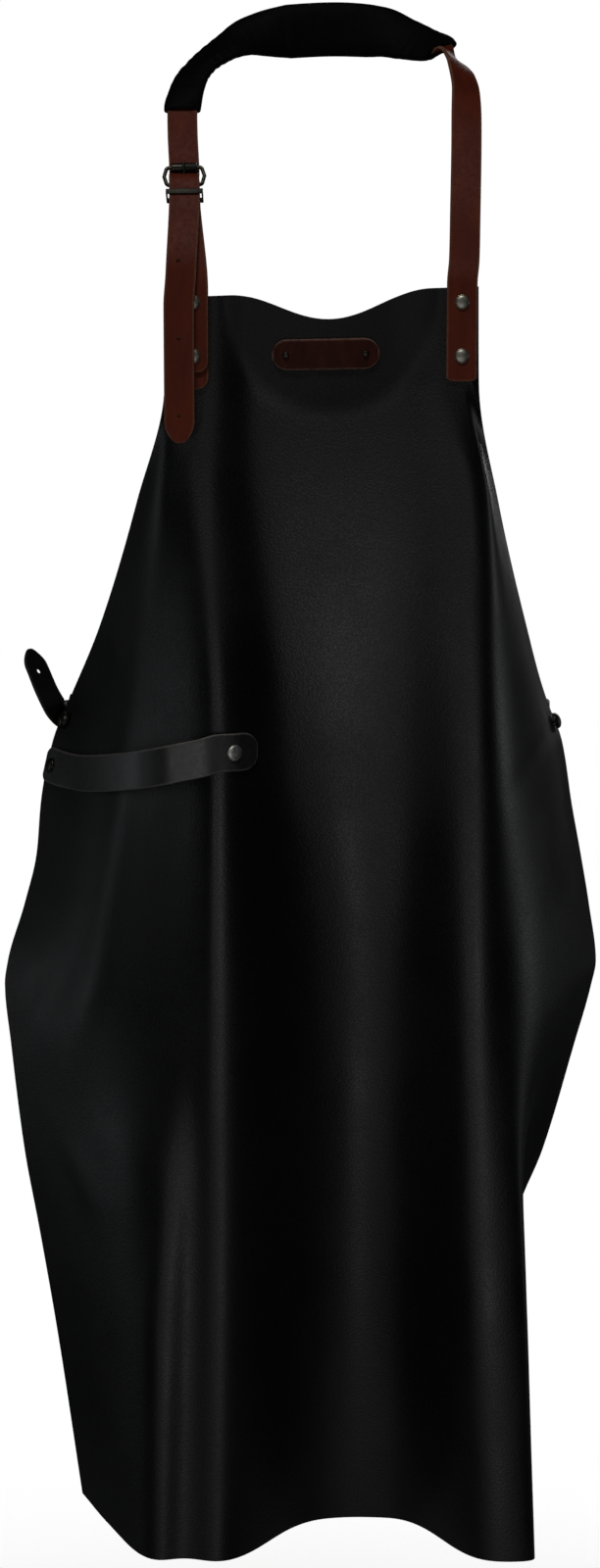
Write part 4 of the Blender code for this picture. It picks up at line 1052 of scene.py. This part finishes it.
def towelPieces():
    x0, rise = towel["rivet"]
    stand = 1.5 * gap + stock / 2
    points = []
    for shift in (towel["reach"], 0.008, 0.0, -0.008):
        spot, out = onSheet(x0 + shift, rise)
        points.append(spot + out * stand)
    leans = [Vector((0, 0, 1))] * (len(points) + len(towelRoute))
    sideDrop = waist["drop"] + towel["belowWaist"]
    for across, back, way in towelRoute:
        x, y = across * body["halfAcross"], back * body["depth"]
        points.append(place(x, y, rise - (sideDrop + rise) * way))
    for inset in (towel["sideInset"] + 0.006, towel["sideInset"] - 0.006, towel["endInset"]):
        spot, out, rising = flankSpot(-1, -sideDrop, inset)
        points.append(spot + out * (stand + strapStock["curvedSeat"]))
        leans.append(rising)
    half = towel["width"] / 2

    def width(along, length):
        return min(roundedEnd(along, half, half * 0.9),
                   roundedEnd(length - along, half, strapStock["rounding"]))

    piece, _ = strapPiece("towelStrap", points, leans, width, half, stock, finish["towelBand"])
    hand(piece, "towel_strap")
    seat, out = onSheet(x0, rise)
    behind = body["leather"] + strapStock["curvedSeat"]
    rivetPiece("towelRivetFront", "towel_rivet_front", seat, out, rivets["towel"], riveted["dome"],
               2 * gap + stock, behind, finish["brightRivet"])
    seat, out, _ = flankSpot(-1, -sideDrop, towel["sideInset"])
    rivetPiece("towelRivetSide", "towel_rivet_side", seat, out, rivets["towel"], riveted["dome"],
               strapStock["curvedSeat"] + 2 * gap + stock, behind, finish["cornerRivet"])


towelPieces()
print("patch and towel strap made")

# waist strap, round the back: across and back as shares
waistRoute = ((0.740, 0.720), (0.680, 0.830), (0.520, 0.930), (0.280, 0.985), (0.000, 1.000),
              (-0.300, 0.985), (-0.550, 0.930), (-0.700, 0.855))
waistTail = (  # place from the buckle's heel, way of the width
    ((-0.0100, -0.0100, 0.0060), (0.35, 0.45, 0.80)), ((-0.0160, -0.0120, 0.0180), (0.55, 0.70, 0.45)),
    ((-0.0230, -0.0080, 0.0340), (0.60, 0.75, 0.25)), ((-0.0300, -0.0020, 0.0490), (0.60, 0.75, 0.20)),
)


def waistPieces():
    leather, curved = body["leather"], strapStock["curvedSeat"]
    inside = leather + curved + stock / 2
    deeper = inside + gap + stock
    seats = {side: flankSpot(side, -waist["drop"], waist["inset"]) for side in (-1, 1)}

    def behind(side, inset, depth):
        spot, out, _ = flankSpot(side, -waist["drop"], inset)
        return spot - out * depth

    edge, _, _ = flankSpot(-1, -waist["drop"], 0.0)
    heel = edge + Vector(waist["heel"])
    up = Vector(waist["lean"]).normalized()
    face = Vector((0, 0, 1)).cross(up).normalized()
    hookEnd, prongTip = bucklePieces("waistBuckle", "waist_buckle", heel, up, face, 2 * waist["half"],
                                     buckleStock["bar"], False)
    upright = Vector((0, 0, 1))
    tilt = {side: seats[side][2] for side in seats}
    insets = (waist["inset"] + waist["backEnd"], waist["inset"], 0.001)  # towards the sheet's edge
    under = heel - up * waist["below"]
    folded = foldedPiece(
        "waistBuckleStrap", [behind(-1, inset, deeper) for inset in insets] + [under - face * foldRadius],
        heel, up, face,
        [under + face * foldRadius] + [behind(-1, inset, inside) for inset in reversed(insets)],
        [tilt[-1]] * 3 + [upright] * 9 + [tilt[-1]] * 3, waist["half"], finish["blackStrap"])
    hand(folded, "waist_buckle_strap")
    points = [behind(1, inset, inside) for inset in insets]
    for across, back in waistRoute:
        points.append(place(across * body["halfAcross"], back * body["waistReach"], -waist["drop"]))
    points += throughBuckle(heel, up, face, buckleStock["bar"])
    leans = [tilt[1]] * 3 + [upright] * (len(points) - 3)
    for shift, lean in waistTail:
        points.append(heel + Vector(shift))
        leans.append(Vector(lean))

    def width(along, length):
        return min(roundedEnd(along, waist["half"], strapStock["rounding"]),
                   pointedEnd(length - along, waist["half"], *waist["tip"]))

    piece, line = strapPiece("waistStrap", points, leans, width, waist["half"], stock, finish["blackStrap"])
    prongHole(piece, hookEnd, prongTip)
    share = 1 - waist["holeFromTip"] / line.length
    run = (line.at(share + 0.003) - line.at(share - 0.003)).normalized()
    through = Vector(waistTail[-2][1]).normalized().cross(run)
    cutAway(piece, drill(line.at(share), through, waist["hole"], 0.012))
    hand(piece, "waist_strap")
    single = leather + curved + stock
    for side, label, back in ((-1, "Left", single + gap + stock), (1, "Right", single)):
        seat, out, _ = seats[side]
        rivetPiece("waistRivet" + label, "waist_rivet_" + label.lower(), seat, out, rivets["corner"],
                   riveted["cornerDome"], curved, back, finish["cornerRivet"])


waistPieces()
print("waist strap made")

# floor, light and camera
studio = {"floorBelow": 1.52, "floorFade": (0.35, 1.25), "floorShare": 0.35, "sky": (1.0, 1.0, 1.0),
          "room": (0.008, 0.0083, 0.009), "camera": (-0.014, -2.06, -0.162), "pitch": 9.5, "lens": 67.5}
lamps = {  # place, aim, width, height, power, colour
    "key": ((-0.4, -1.9, 2.3), (0.0, -0.1, -0.4), 0.9, 0.7, 21.0, (1.0, 0.985, 0.96)),
    "front": ((-0.05, -2.3, -1.04), (0.0, -0.1, -0.6), 0.50, 0.60, 2.05, (1.0, 1.0, 1.0)),
    "leftFront": ((-1.05, -2.05, -1.00), (-0.1, 0.0, -0.6), 0.22, 0.9, 1.5, (1.0, 1.0, 1.0)),
    "low": ((0.0, -1.45, -1.30), (0.0, -0.1, -0.85), 0.36, 0.30, 0.55, (1.0, 1.0, 1.0)),
    "left": ((-3.0, 0.5, -0.7), (-0.1, 0.0, -0.6), 0.6, 1.9, 2.6, (0.93, 0.97, 1.0)),
    "right": ((3.0, 0.7, -0.4), (0.1, 0.0, -0.5), 0.7, 1.8, 5.5, (0.96, 0.98, 1.0)),
    "behind": ((0.8, 3.0, 0.6), (0.0, 0.2, -0.6), 1.8, 1.8, 34.0, (1.0, 0.99, 0.98)),
}


def floorPiece():
    bpy.ops.object.select_all(action="DESELECT")
    bpy.ops.mesh.primitive_circle_add(vertices=96, radius=4.0, fill_type="NGON",
                                      location=(0.0, 0.1, -studio["floorBelow"]))
    floor = bpy.context.object
    floor.name = "floor"
    bpy.ops.object.transform_apply(location=True, rotation=True, scale=True)
    paint = Paint("pale floor", Roughness=0.8)
    at = paint.surface()
    level = paint.stretch(at, (1.0, 1.0, 0.0))
    away = paint.node("ShaderNodeVectorMath", {"operation": "LENGTH"}, {0: level}, output="Value")
    speck = paint.cloud(at, 40.0, 3.0)
    tone = paint.blend(paint.range(speck, 0.3, 0.7), rgb(0.88, 0.88, 0.87), rgb(0.92, 0.92, 0.91))
    seen = paint.range(away, *studio["floorFade"], studio["floorShare"], 0.0)
    floor.data.materials.append(paint.give(Base_Color=tone, Alpha=seen))


def worldLight():
    world = bpy.data.worlds.new("pale studio")
    bpy.context.scene.world = world
    world.use_nodes = True
    tree = world.node_tree
    tree.nodes.clear()
    seen = tree.nodes.new("ShaderNodeBackground")
    seen.inputs["Color"].default_value = rgb(*studio["sky"])
    room = tree.nodes.new("ShaderNodeBackground")
    room.inputs["Color"].default_value = rgb(*studio["room"])
    path = tree.nodes.new("ShaderNodeLightPath")
    mix = tree.nodes.new("ShaderNodeMixShader")
    out = tree.nodes.new("ShaderNodeOutputWorld")
    tree.links.new(path.outputs["Is Camera Ray"], mix.inputs[0])
    tree.links.new(room.outputs[0], mix.inputs[1])
    tree.links.new(seen.outputs[0], mix.inputs[2])
    tree.links.new(mix.outputs[0], out.inputs["Surface"])


def lampPiece(name, spot, aim, wide, high, power, colour):
    lamp = bpy.data.lights.new(name, "AREA")
    lamp.shape = "RECTANGLE"
    lamp.size = wide
    lamp.size_y = high
    lamp.energy = power
    lamp.color = colour
    piece = bpy.data.objects.new(name, lamp)
    bpy.context.collection.objects.link(piece)
    piece.location = spot
    piece.visible_camera = False
    piece.rotation_euler = (Vector(aim) - Vector(spot)).to_track_quat("-Z", "Y").to_euler()


floorPiece()
worldLight()
for name, settings in lamps.items():
    lampPiece(name, *settings)
bpy.context.scene.view_settings.view_transform = "Standard"
camera = bpy.data.objects.new("camera", bpy.data.cameras.new("camera"))
bpy.context.collection.objects.link(camera)
camera.location = studio["camera"]
camera.rotation_euler = (radians(90 - studio["pitch"]), 0, 0)
camera.data.sensor_width = 36
camera.data.sensor_fit = "AUTO"
camera.data.lens = studio["lens"]
camera.data.dof.use_dof = False
bpy.context.scene.camera = camera
print("studio made")
